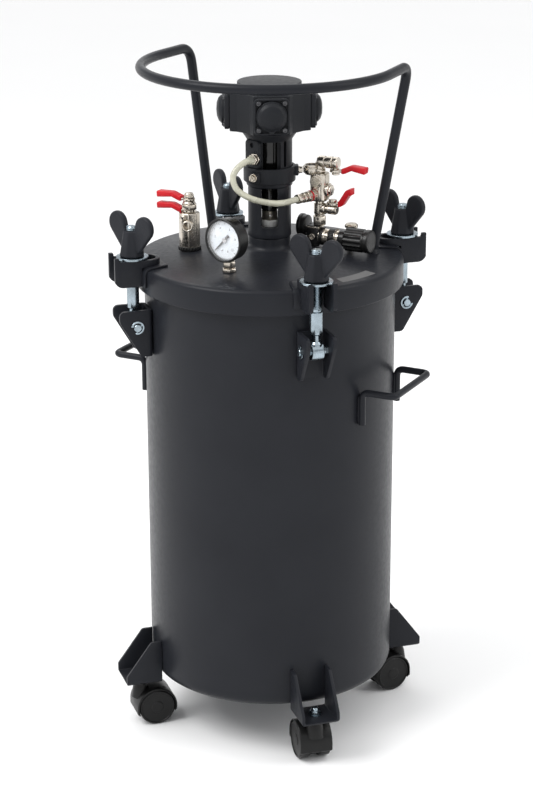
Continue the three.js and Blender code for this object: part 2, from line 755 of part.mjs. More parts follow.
// ---------- air motor ----------
function motorHousing() {
  const neckTopHeight = motorBottom + motorNeckHeight;
  const body = turned([
    [motorNeckBore, motorBottom],
    [motorNeckRadius, motorBottom],
    [motorNeckRadius, neckTopHeight],
    [motorFunnelRadius, motorBodyBottom],
    [motorBodyRadius - 3, motorBodyBottom],
    [motorBodyRadius, motorBodyBottom + 3],
    [motorBodyRadius, motorBodyTop - 3],
    [motorBodyRadius - 3, motorBodyTop],
    [0, motorBodyTop],
    [0, shaftTop],
    [shaftRadius + turnGap, shaftTop],
    [shaftRadius + turnGap, motorNeckBoreTop],
    [motorNeckBore, motorNeckBoreTop],
  ], 32);
  const flats = [0, 90, 180, 270].map((turn) => (
    block(40, 120, motorBodyHeight + 10, motorFlatDistance + 20, 0, motorBodyBottom - 5)
      .rotate([0, 0, turn + motorAzimuth - 90])
  ));
  const port = alongX(bar(hosePortRadius, hosePortLength + 2, motorNeckRadius - 2, 12))
    .rotate([0, 0, hosePortAzimuth - 90]).translate([0, 0, rimTop + hosePortHeight]);
  const socketBottom = motorNeckRadius + hosePortLength - hoseSocketDepth;
  const hoseSocket = alongX(bar(hoseRadius + gap, hoseSocketDepth + 1, socketBottom, 12, true))
    .rotate([0, 0, hosePortAzimuth - 90]).translate([0, 0, rimTop + hosePortHeight]);
  return cut(join(cut(body, ...flats), port), hoseSocket);
}

function motorCap() {
  return turned([
    [0, motorBodyTop + gap],
    [motorCapRadius, motorBodyTop + gap],
    [motorCapRadius, motorBodyTop + motorCapHeight - 1],
    [motorCapRadius - 1, motorBodyTop + motorCapHeight],
    [0, motorBodyTop + motorCapHeight],
  ], 32);
}

// bolts to the motor's flat; +x looks outwards
function cylinderHead() {
  const face = motorFlatDistance + gap;
  const bossRadius = headBossRadius;
  const flange = block(headFlange, headWidth, headHeight, face + headFlange / 2, 0, -headHeight / 2);
  const boss = turned([
    [0, headFlange - 1],
    [bossRadius, headFlange - 1],
    [bossRadius, headFlange + headBossHeight],
    [bossRadius * 0.85, headFlange + headBossHeight + headDomeHeight * 0.6],
    [bossRadius * 0.55, headFlange + headBossHeight + headDomeHeight],
    [0, headFlange + headBossHeight + headDomeHeight],
  ], 24);
  return join(flange, alongX(boss).translate([face, 0, 0])).translate([0, 0, headCentre]);
}

function columnCollar() {
  const bottom = columnTop - collarOverlap;
  return cut(bar(columnHeadRadius + gap + collarWall, collarHeight, bottom, 32),
    bar(columnHeadRadius + gap, collarHeight + 2, bottom - 1, 32));
}

// ---------- levers ----------
// hub on z, grip along +x after a rise; standing on z = 0
function lever(reach, rise) {
  const end = leverFlat + leverSlope;
  const grip = plate([
    [0, 0], [leverFlat, 0], [end, rise - leverThickness], [reach, rise - leverThickness],
    [reach, rise], [end - 1.5, rise], [leverFlat - 1.5, leverHubHeight], [0, leverHubHeight],
  ], leverWidth);
  const hub = bar(leverHubRadius, leverHubHeight, 0, 12);
  return cut(join(hub, grip), bar(leverStemRadius + turnGap, 30, -1, 12, true));
}

// ---------- fluid outlet ----------
const outletBase = lidSeat(outletPlace, outletFlats / 2);
const lowerLeverHeight = outletBase + outletHeight + leverPlay;
const outletTopBottom = lowerLeverHeight + leverHubHeight + leverPlay;
const upperLeverHeight = outletTopBottom + outletTopHeight + leverPlay;

function fluidOutletBlock() {
  const pillar = bar(outletFlats / 2, outletHeight, outletBase, 8, true);
  const topBlock = bar(outletTopFlats / 2, outletTopHeight, outletTopBottom, 6, true);
  const capBottom = upperLeverHeight + leverHubHeight + leverPlay;
  const stem = bar(leverStemRadius, capBottom - outletBase, outletBase + 1, 12);
  const cap = turned([[0, capBottom], [6.5, capBottom], [6.5, capBottom + 3],
    [4.5, capBottom + 6.5], [0, capBottom + 7.5]], 16);
  const reach = outletFlats / 2 + outletPortLength;
  const port = alongX(bar(outletPortRadius, reach, 0, 16));
  const bore = alongX(bar(outletPortBore, outletPortDepth + 1, reach - outletPortDepth, 16));
  const portHeight = outletBase + outletPortHeight;
  const aim = (shape) => shape.rotate([0, 0, outletPortAzimuth - 90]).translate([0, 0, portHeight]);
  const body = join(pillar, topBlock, stem, cap, aim(port));
  return cut(body, aim(bore)).translate([...outletPlace, 0]);
}

function pickupTube() {
  const bottom = tankBottomHeight + pickupFloorClearance;
  const top = lidUnderside - gap;
  return cut(bar(pickupRadius, top - bottom, bottom, 12), bar(pickupBore, top - bottom + 2, bottom - 1, 12))
    .translate([...outletPlace, 0]);
}

// ---------- air side ----------
const regulatorBottom = lidSeat(regulatorPlace, regulatorFootRadius) + regulatorFootHeight;
const regulatorTop = regulatorBottom + regulatorBlockHeight;
const stemX = regulatorPlace[0] + manifoldStemOffset;
const blockBottom = regulatorTop + gap + manifoldStemHeight;
const topValveHeight = blockBottom + manifoldBlock[2] + topValveRise;
const topLeverX = stemX + topValveStem;
const topLeverHeight = topValveHeight - topValveRadius - leverPlay - leverHubHeight;
const lowValveHeight = regulatorTop + lowValveRise;
const lowLeverX = stemX + lowValveStem;
const lowLeverHeight = lowValveHeight + lowValveRadius + leverPlay;

function regulatorBody() {
  const [x, y] = regulatorPlace;
  const half = regulatorBlock / 2;
  const body = block(regulatorBlock, regulatorBlock, regulatorBlockHeight, x, y, regulatorBottom);
  const foot = bar(regulatorFootRadius, regulatorFootHeight + 1, regulatorBottom - regulatorFootHeight, 12);
  const bonnet = alongX(bar(bonnetRadius, bonnetLength + 1, half - 1, 16));
  return join(body, foot.translate([x, y, 0]), bonnet.translate([x, y, regulatorAxis]));
}

function regulatorKnob() {
  const [x, y] = regulatorPlace;
  const start = x + regulatorBlock / 2 + bonnetLength + gap;
  const flutes = [];
  for (let i = 0; i < knobFlutes; i++) {
    const flute = bar(fluteRadius, knobLength - 6, -1, 4).translate([knobRadius + 0.3, 0, 0]);
    flutes.push(flute.rotate([0, 0, 360 * i / knobFlutes]));
  }
  const body = cut(bar(knobRadius, knobLength, 0, knobFlutes * 2), ...flutes);
  return alongX(body).translate([start, y, regulatorAxis]);
}

function regulatorGauge() {
  const [x, y] = regulatorPlace;
  const [across, up] = smallGaugeOffset;
  const face = x - regulatorBlock / 2 - gap;
  const stub = alongX(bar(smallGaugeStem, smallGaugeStem, -smallGaugeStem, 12));
  const dial = alongX(bar(smallGaugeRadius, smallGaugeDepth, -smallGaugeStem - smallGaugeDepth, 24))
    .translate([0, across, up]);
  return join(stub, dial).translate([face, y, regulatorAxis + smallGaugeRise]);
}

// flows along +x, or upwards into the manifold; levers turn about z
function airManifold() {
  const [bx, by, bz] = manifoldBlock;
  const y = regulatorPlace[1];
  const bottom = regulatorTop + gap;
  const blockTop = blockBottom + bz;
  const stem = bar(manifoldStemFlats / 2, manifoldStemHeight + 2, bottom, 6, true);
  const middle = block(bx, by, bz, 0, 0, blockBottom);
  const cup = cut(bar(cupRadius, cupHeight, 0, 20),
    bar(cupRadius - cupWall, cupDepth + 1, cupHeight - cupDepth, 12));
  const riser = bar(riserRadius, topValveRise, blockTop - 1, 12);
  const topValve = alongX(bar(topValveRadius, topValveLength, 0, 16));
  const topStemHeight = topValveRadius + leverHubHeight + 2 * leverPlay;
  const topStem = bar(leverStemRadius, topStemHeight, topValveHeight - topStemHeight, 12);
  const topNut = bar(leverStemRadius + 2, 3, topValveHeight - topStemHeight - 3, 6, true);
  const lowValve = alongX(bar(lowValveRadius, lowValveReach, 0, 12));
  const lowStemHeight = lowValveRadius + leverHubHeight + 2 * leverPlay;
  const lowStem = bar(leverStemRadius, lowStemHeight, lowValveHeight, 12);
  const lowNut = bar(leverStemRadius + 2, 3, lowValveHeight + lowStemHeight, 6, true);
  const [ex, ey, ez] = hoseEnd;
  const from = new THREE.Vector3(stemX - 3, y - by / 2 + 6, ez + rimTop);
  const to = new THREE.Vector3(ex, ey, ez + rimTop);
  const fitting = rod([from.toArray(), to.toArray()], hoseFittingRadius, 1, 12);
  return join(
    stem.translate([stemX, y, 0]),
    middle.translate([stemX, y, 0]),
    cup.translate([stemX - cupOffset, y, blockTop - 4]),
    riser.translate([stemX, y, 0]),
    topValve.translate([stemX - 2, y, topValveHeight]),
    topStem.translate([topLeverX, y, 0]),
    topNut.translate([topLeverX, y, 0]),
    lowValve.translate([stemX, y, lowValveHeight]),
    lowStem.translate([lowLeverX, y, 0]),
    lowNut.translate([lowLeverX, y, 0]),
    fitting,
  );
}

function reliefValve() {
  const [x, y] = reliefPlace;
  const neck = reliefRadius - 1.5;
  return turned([
    [0, 0],
    [neck, 0],
    [neck, reliefHeight - 13],
    [reliefRadius, reliefHeight - 8],
    [reliefRadius, reliefHeight - 1],
    [reliefRadius - 1, reliefHeight],
    [0, reliefHeight],
  ], 12).translate([x, y, reliefSeatTop + gap]);
}

function pressureGaugeCase() {
  const centre = gaugeCentreHeight;
  const dial = alongX(cut(bar(gaugeRadius, gaugeDepth, -gaugeDepth / 2, 32),
    bar(gaugeDialRadius, gaugeDialRecess + 1, gaugeDepth / 2 - gaugeDialRecess, 32)));
  const stemBottom = lidSurface(Math.hypot(...gaugePlace)) + 0.8 - rimTop;
  const stem = bar(gaugeStemRadius, centre - gaugeRadius - stemBottom + 3, stemBottom, 12);
  const hex = bar(8, 9, centre - gaugeRadius - 9, 6, true);
  return join(dial.translate([gaugeForward, 0, centre]), stem, hex)
    .rotate([0, 0, gaugeAzimuth - 90]).translate([...gaugePlace, rimTop]);
}

function gaugeNeedle() {
  const pointer = block(needleLength + needleTail, needleWidth, needleThickness,
    (needleLength - needleTail) / 2, 0, 0);
  const hub = bar(3, needleThickness + 1, 0, 12);
  const needle = join(pointer, hub).rotate([0, 0, needleRest]);
  const dialFace = gaugeForward + gaugeDepth / 2 - gaugeDialRecess;
  // the dial is read from outside: its 3 o'clock is to the reader's right
  const upright = needle.rotate([90, 0, 90]);
  return upright.translate([dialFace + 1.2, 0, gaugeCentreHeight])
    .rotate([0, 0, gaugeAzimuth - 90]).translate([...gaugePlace, rimTop]);
}

function airHose() {
  const seat = motorNeckRadius + hosePortLength - hoseSocketDepth + gap;
  const [portX, portY] = heading(hosePortAzimuth);
  const atPort = (reach) => new THREE.Vector3(portX * reach, portY * reach, rimTop + hosePortHeight);
  const bends = hoseBends.map(([x, out, z]) => [x, -motorNeckRadius - out, z]);
  const route = [...bends, hoseEnd].map(([x, y, z]) => new THREE.Vector3(x, y, z + rimTop));
  const end = route.pop();
  const stop = end.clone().sub(route.at(-1)).setLength(-2 * gap).add(end);
  const points = [atPort(seat), atPort(seat + 1.5 * hoseRadius), ...route, stop];
  return rod(points.map((point) => point.toArray()), hoseRadius, 44);
}

// ---------- assembly ----------
addPart('tank_shell', tankShell(), 'blackPaint');
addPart('side_handle_left', sideHandle(-1), 'blackPaint');
addPart('side_handle_right', sideHandle(1), 'blackPaint');

clampAzimuths.forEach((azimuth, i) => {
  const frame = radialFrame(azimuth);
  const number = i + 1;
  addPart(`clamp_bracket_${number}`, clampBracket(), 'blackPaint', frame);
  addPart(`swing_bolt_${number}`, swingBolt(), 'zinc', frame);
  addPart(`lid_lug_${number}`, lidLug(), 'blackPaint', frame);
  const nut = addPart(`wing_nut_${number}`, wingNut(), 'blackPaint', frame);
  nut.position.set(clampAxisRadius, 0, nutBottom);
  nut.rotation.z = rad(clampWingAzimuths[i] - azimuth);
});

clampAzimuths.forEach((azimuth, i) => {
  const frame = radialFrame(azimuth);
  const number = i + 1;
  addPart(`caster_bracket_${number}`, casterBracket(), 'blackPaint', frame);
  const swivel = new THREE.Group();
  swivel.position.set(casterAxisRadius, 0, 0);
  swivel.rotation.z = rad(casterTrailAzimuths[i] - azimuth);
  frame.add(swivel);
  addPart(`caster_hood_${number}`, casterHood(), 'plastic', swivel);
  addPart(`caster_wheels_${number}`, casterWheels(), 'plastic', swivel);
});

addPart('lid', lidBody(), 'blackPaint');
addPart('lid_gasket', lidGasket(), 'rubber');
addPart('lift_hoop', liftHoop(), 'blackPaint');
addPart('agitator_shaft', agitatorShaft(), 'steel');
addPart('propeller', propeller(), 'steel');
addPart('packing_ring', packingRing(), 'whitePlastic');
addPart('gland_nut', glandNut(), 'nickel');
addPart('bearing_column', bearingColumn(), 'castBlack');
addPart('column_collar', columnCollar(), 'castBlack');
addPart('motor_housing', motorHousing(), 'castBlack');
addPart('motor_cap', motorCap(), 'castBlack');
[0, 1, 2, 3].forEach((i) => {
  addPart(`cylinder_head_${i + 1}`, cylinderHead(), 'castBlack', radialFrame(motorAzimuth + 90 * i));
});

addPart('fluid_outlet_block', fluidOutletBlock(), 'nickel');
const outletLevers = [['outlet_lever_lower', lowerLeverHeight], ['outlet_lever_upper', upperLeverHeight]];
outletLevers.forEach(([name, height]) => {
  const mesh = addPart(name, lever(outletLeverReach, outletLeverRise), 'redGrip');
  mesh.position.set(...outletPlace, height);
  mesh.rotation.z = Math.PI;
});
addPart('pickup_tube', pickupTube(), 'steel');

addPart('regulator_body', regulatorBody(), 'castBlack');
addPart('regulator_knob', regulatorKnob(), 'plastic');
addPart('regulator_gauge', regulatorGauge(), 'plastic');
addPart('air_manifold', airManifold(), 'nickel');
const inletLever = addPart('inlet_lever', lever(inletLeverReach, inletLeverRise), 'redGrip');
inletLever.position.set(topLeverX, regulatorPlace[1], topLeverHeight);
const motorLever = addPart('motor_valve_lever', lever(motorLeverReach, motorLeverRise), 'redGrip');
motorLever.position.set(lowLeverX, regulatorPlace[1], lowLeverHeight);
addPart('relief_valve', reliefValve(), 'nickel');

addPart('gauge_case', pressureGaugeCase(), 'plastic');
addPart('gauge_needle', gaugeNeedle(), 'plastic');
addPart('air_hose', airHose(), 'hose');

export default group;
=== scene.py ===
"""Resin pressure pot: the visual model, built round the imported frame.

Pieces are modelled in millimetres in the frame's own axes and turned to metres when they are finished.
Azimuths are in degrees, counted from -Y towards +X.
"""
import math

import bmesh
import bpy
from mathutils import Matrix, Vector


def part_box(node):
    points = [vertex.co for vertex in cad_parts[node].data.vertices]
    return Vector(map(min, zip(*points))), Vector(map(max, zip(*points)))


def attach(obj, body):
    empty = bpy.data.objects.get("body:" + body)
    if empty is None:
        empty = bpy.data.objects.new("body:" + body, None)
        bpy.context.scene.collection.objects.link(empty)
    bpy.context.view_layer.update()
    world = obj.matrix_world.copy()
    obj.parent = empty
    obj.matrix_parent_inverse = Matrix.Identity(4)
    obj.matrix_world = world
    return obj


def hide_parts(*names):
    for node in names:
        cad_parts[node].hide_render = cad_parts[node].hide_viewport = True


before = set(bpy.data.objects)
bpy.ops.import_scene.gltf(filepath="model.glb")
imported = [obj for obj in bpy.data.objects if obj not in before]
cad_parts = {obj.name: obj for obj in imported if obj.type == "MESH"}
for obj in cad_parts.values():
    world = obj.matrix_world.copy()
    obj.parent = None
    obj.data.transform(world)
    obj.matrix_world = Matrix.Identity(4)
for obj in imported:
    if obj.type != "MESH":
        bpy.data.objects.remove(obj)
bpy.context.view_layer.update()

scene = bpy.context.scene
MM = 0.001
gap = 0.3                          # between pieces that touch, in millimetres


# ---------- places taken from the frame, in millimetres ----------
def span(node):
    """Lowest and highest corner of a CAD node, in millimetres."""
    low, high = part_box(node)
    return low / MM, high / MM


def heading(azimuth):
    angle = math.radians(azimuth)
    return Vector((math.sin(angle), -math.cos(angle), 0))


tank_low, tank_high = span("tank_shell")
tank_bottom, mouth_top = tank_low.z, tank_high.z
mouth_radius = tank_high.x
mouth_ring = 4.5
mouth_ring_height = 20
wall = 3
tank_radius = mouth_radius - mouth_ring

lid_low, lid_high = span("lid")
skirt_radius = lid_high.x
skirt_bottom = lid_low.z
skirt_depth = 32
rim_top = skirt_bottom + skirt_depth
rim_corner = 6
dome_radius = 52
dome_rise = 10
neck_top = rim_top + 28

clamp_azimuths = [-45, 45, 135, -135]
wing_azimuths = [72, 78, 68, 55]
trail_azimuths = [135, -137, -33, 100]
bolt_axis = 186
caster_axis = 188
motor_azimuth = 30
view_azimuth = 27


def lid_surface(radius):
    """The lid's top surface at a distance from the axis."""
    edge = skirt_radius - rim_corner
    return rim_top + dome_rise * (edge - radius) / (edge - dome_radius)


# ---------- shaping ----------
def rounded(outline, closed=True):
    """Points of an outline whose corners (x, y, fillet) are rounded by a fillet radius."""
    points = []
    count = len(outline)
    for i, corner in enumerate(outline):
        here = Vector(corner[:2])
        fillet = corner[2] if len(corner) > 2 else 0
        if fillet <= 0 or (not closed and i in (0, count - 1)):
            points.append(here)
            continue
        before = Vector(outline[i - 1][:2]) - here
        after = Vector(outline[(i + 1) % count][:2]) - here
        angle = before.angle(after)
        cut = min(fillet / math.tan(angle / 2), before.length * 0.49, after.length * 0.49)
        start = here + before.normalized() * cut
        end = here + after.normalized() * cut
        radius = cut * math.tan(angle / 2)
        centre = here + (before.normalized() + after.normalized()).normalized() * radius / math.sin(angle / 2)
        steps = max(2, round((math.pi - angle) / math.radians(15)))
        turn = (start - centre).angle_signed(end - centre)
        for k in range(steps + 1):
            points.append(centre + Matrix.Rotation(-turn * k / steps, 2) @ (start - centre))
    return points


def arc(radius, angles, centre=(0, 0)):
    """Points round a centre, at angles in degrees from +X."""
    turns = [math.radians(angle) for angle in angles]
    return [(centre[0] + radius * math.cos(a), centre[1] + radius * math.sin(a)) for a in turns]


def lathe(profile, steps=64, at=None):
    """A profile of (radius, height, fillet) turned about Z; closed on itself unless it ends on the axis."""
    closed = not (profile[0][0] == 0 and profile[-1][0] == 0)
    outline = rounded(profile, closed)
    bm = bmesh.new()
    verts = [bm.verts.new((p.x, 0, p.y)) for p in outline]
    pairs = list(zip(verts, verts[1:]))
    if closed:
        pairs.append((verts[-1], verts[0]))
    edges = [bm.edges.new(pair) for pair in pairs]
    bmesh.ops.spin(bm, geom=verts + edges, cent=(0, 0, 0), axis=(0, 0, 1), angle=math.tau,
                   steps=steps, use_merge=True)
    bmesh.ops.remove_doubles(bm, verts=bm.verts, dist=1e-4)
    bmesh.ops.recalc_face_normals(bm, faces=bm.faces)
    return bm if at is None else placed(bm, at)


def rod(profile, steps=64, at=None):
    """A solid turned about Z, closed to the axis at both ends of its profile."""
    return lathe([(0, profile[0][1]), *profile, (0, profile[-1][1])], steps, at)


def soften(bm, width, segments=2, least=30):
    """Round every edge that turns by more than an angle."""
    sharp = [e for e in bm.edges if len(e.link_faces) == 2 and e.calc_face_angle(0) > math.radians(least)]
    bmesh.ops.bevel(bm, geom=sharp, offset=width, offset_type="OFFSET", segments=segments,
                    profile=0.5, affect="EDGES", clamp_overlap=True, material=-1)
    return bm


def prism(outline, height, edge=0.0, segments=2):
    """An outline of (x, y, fillet) raised along Z."""
    bm = bmesh.new()
    face = bm.faces.new([bm.verts.new((p.x, p.y, 0)) for p in rounded(outline)])
    raised = bmesh.ops.extrude_face_region(bm, geom=[face])["geom"]
    top = [g for g in raised if isinstance(g, bmesh.types.BMVert)]
    bmesh.ops.translate(bm, vec=(0, 0, height), verts=top)
    bmesh.ops.recalc_face_normals(bm, faces=bm.faces)
    if edge:
        soften(bm, edge, segments)
    return bm


def upright(outline, thickness, edge=0.0, segments=2):
    """An outline in X and Z, with its thickness centred on Y."""
    bm = prism(outline, thickness, edge, segments)
    return placed(bm, Matrix.Translation((0, thickness / 2, 0)) @ turn(90, "X"))


def block(size, at=(0, 0, 0), edge=0.0, segments=2):
    """A box that stands on a point."""
    bm = bmesh.new()
    bmesh.ops.create_cube(bm, size=1)
    bmesh.ops.scale(bm, vec=size, verts=bm.verts)
    bmesh.ops.translate(bm, vec=Vector(at) + Vector((0, 0, size[2] / 2)), verts=bm.verts)
    if edge:
        soften(bm, edge, segments)
    return bm


def hexagon(flats, height, edge=0.7):
    """A hexagon bar across its flats, standing on Z = 0."""
    radius = flats / math.sqrt(3)
    return prism(arc(radius, range(0, 360, 60)), height, edge, 2)


def sweep(points, radius, sides=16, widths=None):
    """A round bar along points; widths scales it at each point."""
    points = [Vector(p) for p in points]
    bm = bmesh.new()
    tangent = (points[1] - points[0]).normalized()
    start = Matrix.Translation(points[0]) @ tangent.to_track_quat("Z", "Y").to_matrix().to_4x4()
    ring = bmesh.ops.create_circle(bm, cap_ends=False, radius=radius, segments=sides, matrix=start)["verts"]
    edges = list({e for v in ring for e in v.link_edges})
    for i in range(1, len(points)):
        grown = bmesh.ops.extrude_edge_only(bm, edges=edges)["geom"]
        ring = [g for g in grown if isinstance(g, bmesh.types.BMVert)]
        edges = [g for g in grown if isinstance(g, bmesh.types.BMEdge)]
        ahead = points[min(i + 1, len(points) - 1)] - points[i - 1]
        onward = ahead.normalized()
        swing = tangent.rotation_difference(onward).to_matrix().to_4x4()
        step = Matrix.Translation(points[i]) @ swing @ Matrix.Translation(-points[i - 1])
        if widths:
            step = step @ Matrix.Translation(points[i - 1])
            step = step @ Matrix.Scale(widths[i] / widths[i - 1], 4) @ Matrix.Translation(-points[i - 1])
        bmesh.ops.transform(bm, matrix=step, verts=ring)
        tangent = onward
    bmesh.ops.holes_fill(bm, edges=bm.edges, sides=0)
    bmesh.ops.recalc_face_normals(bm, faces=bm.faces)
    return bm


def screw_thread(radius, depth, pitch, turns, steps=20):
    """A helical thread that rises from Z = 0."""
    bm = bmesh.new()
    root = radius - depth
    profile = [(root, 0), (radius, pitch * 0.4), (radius, pitch * 0.55), (root, pitch)]
    verts = [bm.verts.new((r, 0, z)) for r, z in profile]
    edges = [bm.edges.new(pair) for pair in zip(verts, verts[1:])]
    bmesh.ops.spin(bm, geom=verts + edges, cent=(0, 0, 0), axis=(0, 0, 1), angle=math.tau * turns,
                   dvec=(0, 0, pitch / steps), steps=steps * turns, use_merge=False)
    bmesh.ops.remove_doubles(bm, verts=bm.verts, dist=1e-3)
    bmesh.ops.holes_fill(bm, edges=bm.edges, sides=0)
    bmesh.ops.recalc_face_normals(bm, faces=bm.faces)
    return bm


def turn(angle, axis):
    return Matrix.Rotation(math.radians(angle), 4, axis)


def place(x=0, y=0, z=0):
    return Matrix.Translation((x, y, z))


def placed(bm, matrix):
    bmesh.ops.transform(bm, matrix=matrix, verts=bm.verts)
    return bm


def facing(azimuth):
    """Turns +X towards an azimuth."""
    return turn(azimuth - 90, "Z")


def together(*shapes):
    """Several shapes as one mesh."""
    whole = shapes[0]
    for shape in shapes[1:]:
        mesh = bpy.data.meshes.new("part")
        shape.to_mesh(mesh)
        shape.free()
        whole.from_mesh(mesh)
        bpy.data.meshes.remove(mesh)
    return whole


def combined(first, second, operation):
    """The union, difference or intersection of two closed shapes."""
    objects = []
    for bm in (first, second):
        mesh = bpy.data.meshes.new("operand")
        bm.to_mesh(mesh)
        bm.free()
        objects.append(bpy.data.objects.new("operand", mesh))
        scene.collection.objects.link(objects[-1])
    modifier = objects[0].modifiers.new("combine", "BOOLEAN")
    modifier.object, modifier.operation, modifier.solver = objects[1], operation, "EXACT"
    shown = objects[0].evaluated_get(bpy.context.evaluated_depsgraph_get())
    result = bmesh.new()
    result.from_mesh(shown.to_mesh())
    shown.to_mesh_clear()
    for obj in objects:
        mesh = obj.data
        bpy.data.objects.remove(obj)
        bpy.data.meshes.remove(mesh)
    return result


def cut(body, *tools):
    for tool in tools:
        body = combined(body, tool, "DIFFERENCE")
    return body


def join(body, *others):
    for other in others:
        body = combined(body, other, "UNION")
    return body


def cast(bm, voxel, passes=3):
    """Melts overlapping shapes into one smooth casting."""
    mesh = bpy.data.meshes.new("casting")
    bm.to_mesh(mesh)
    bm.free()
    obj = bpy.data.objects.new("casting", mesh)
    scene.collection.objects.link(obj)
    remesh = obj.modifiers.new("melt", "REMESH")
    remesh.mode, remesh.voxel_size = "VOXEL", voxel
    smooth = obj.modifiers.new("smooth", "SMOOTH")
    smooth.factor, smooth.iterations = 0.5, passes
    shown = obj.evaluated_get(bpy.context.evaluated_depsgraph_get())
    result = bmesh.new()
    result.from_mesh(shown.to_mesh())
    shown.to_mesh_clear()
    bpy.data.objects.remove(obj)
    bpy.data.meshes.remove(mesh)
    return result


def piece(name, bm, body, look, stands_for=(), crease=35):
    """A finished piece, its mesh in metres, riding on a body; look is a slot and a finish, and only its finish
    is used.
    """
    bmesh.ops.scale(bm, vec=(MM, MM, MM), verts=bm.verts)
    mesh = bpy.data.meshes.new(name)
    bm.to_mesh(mesh)
    bm.free()
    mesh.shade_smooth()
    mesh.set_sharp_from_angle(angle=math.radians(crease))
    mesh.materials.append(look[1])
    obj = bpy.data.objects.new(name, mesh)
    scene.collection.objects.link(obj)
    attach(obj, body)
    if stands_for:
        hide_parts(*stands_for)
    return obj


# ---------- finishes ----------
class Value:
    """A number or colour that varies over a surface; arithmetic adds Math nodes."""

    def __init__(self, finish, socket):
        self.finish, self.socket = finish, socket

    def math(self, operation, *others):
        return self.finish.node("ShaderNodeMath", {"operation": operation}, dict(enumerate((self, *others))))

    def __add__(self, other):
        return self.math("ADD", other)

    def __mul__(self, other):
        return self.math("MULTIPLY", other)

    def __sub__(self, other):
        return self.math("SUBTRACT", other)

    def __rsub__(self, other):
        return self.finish.node("ShaderNodeMath", {"operation": "SUBTRACT"}, {0: other, 1: self})

    __radd__, __rmul__ = __add__, __mul__

    def band(self, low, high, to_low=0.0, to_high=1.0):
        """This value's step from low to high, as a value from to_low to to_high."""
        return self.finish.node("ShaderNodeMapRange", {"clamp": True},
                                {0: self, 1: low, 2: high, 3: to_low, 4: to_high})


class Finish:
    """A surface finish made of nodes round one shader."""

    def __init__(self, name, **constants):
        self.material = bpy.data.materials.new(name)
        self.material.use_nodes = True
        self.tree = self.material.node_tree
        self.shader = self.tree.nodes["Principled BSDF"]
        for socket, value in constants.items():
            self.shader.inputs[socket.replace("_", " ")].default_value = value

    def node(self, kind, settings=None, sockets=None, output=0):
        """One node: its settings first, then the values or links of its sockets."""
        made = self.tree.nodes.new(kind)
        for name, value in (settings or {}).items():
            if name == "stops":
                ramp = made.color_ramp
                while len(ramp.elements) < len(value):
                    ramp.elements.new(1)
                for element, (position, colour) in zip(ramp.elements, value):
                    element.position, element.color = position, colour
            else:
                setattr(made, name, value)
        for key, value in (sockets or {}).items():
            if isinstance(value, Value):
                self.tree.links.new(value.socket, made.inputs[key])
            else:
                made.inputs[key].default_value = value
        return Value(self, made.outputs[output])

    def drive(self, **inputs):
        """Links varying values to the shader."""
        for socket, value in inputs.items():
            self.tree.links.new(value.socket, self.shader.inputs[socket.replace("_", " ")])
        return self

    def where(self):
        return self.node("ShaderNodeTexCoord", output="Object")

    def stretched(self, scale):
        return self.node("ShaderNodeMapping", sockets={"Vector": self.where(), "Scale": scale})

    def noise(self, scale, detail=2.0, roughness=0.5, vector=None):
        sockets = {"Vector": vector or self.where(), "Scale": scale, "Detail": detail, "Roughness": roughness}
        return self.node("ShaderNodeTexNoise", {"noise_dimensions": "3D"}, sockets)

    def blend(self, factor, first, second):
        """A colour between two colours."""
        return self.node("ShaderNodeMix", {"data_type": "RGBA"}, {0: factor, 6: first, 7: second}, output=2)

    def bump(self, height, distance, strength=1.0):
        sockets = {"Strength": strength, "Distance": distance, "Height": height}
        return self.node("ShaderNodeBump", sockets=sockets)


def grey(level, blue=1.0):
    return (level, level, level * blue, 1)


def powder_coat(name, dark, light, roughness, grain=700.0, depth=0.00012):
    """Sprayed and baked paint: a fine orange peel with faint patches of gloss."""
    finish = Finish(name, Metallic=0.0, IOR=1.4, Specular_IOR_Level=0.2)
    patches = finish.noise(9.0, 3.0)
    peel = finish.noise(grain, 2.0, 0.6)
    finish.drive(
        Base_Color=finish.blend(patches.band(0.35, 0.65), dark, light),
        Roughness=finish.noise(160.0, 2.0).band(0.3, 0.7, roughness - 0.04, roughness + 0.05),
        Normal=finish.bump(peel, depth, 0.55),
    )
    return finish.material


def plated(name, colour, tint, roughness, brushed=(1, 1, 1)):
    """Plated or polished metal with fine rubbing marks and slight stains."""
    finish = Finish(name, Metallic=1.0)
    marks = finish.noise(420.0, 3.0, 0.6, finish.stretched(brushed))
    stains = finish.noise(60.0, 3.0, 0.6)
    finish.drive(
        Base_Color=finish.blend(stains.band(0.4, 0.7), colour, tint),
        Roughness=marks.band(0.3, 0.75, roughness * 0.7, roughness * 1.4),
        Normal=finish.bump(marks, 0.00003, 0.35),
    )
    return finish.material


def moulded(name, colour, roughness, grain=1400.0, depth=0.00004, **constants):
    """Moulded plastic or rubber with a fine even grain."""
    finish = Finish(name, Metallic=0.0, **constants)
    texture = finish.noise(grain, 2.0)
    wear = finish.noise(45.0, 3.0)
    shade = tuple(min(1, c * 1.35 + 0.002) for c in colour[:3]) + (1,)
    finish.drive(
        Base_Color=finish.blend(wear.band(0.4, 0.75, 0.0, 0.6), colour, shade),
        Roughness=wear.band(0.3, 0.7, roughness - 0.06, roughness + 0.07),
        Normal=finish.bump(texture, depth, 0.5),
    )
    return finish.material


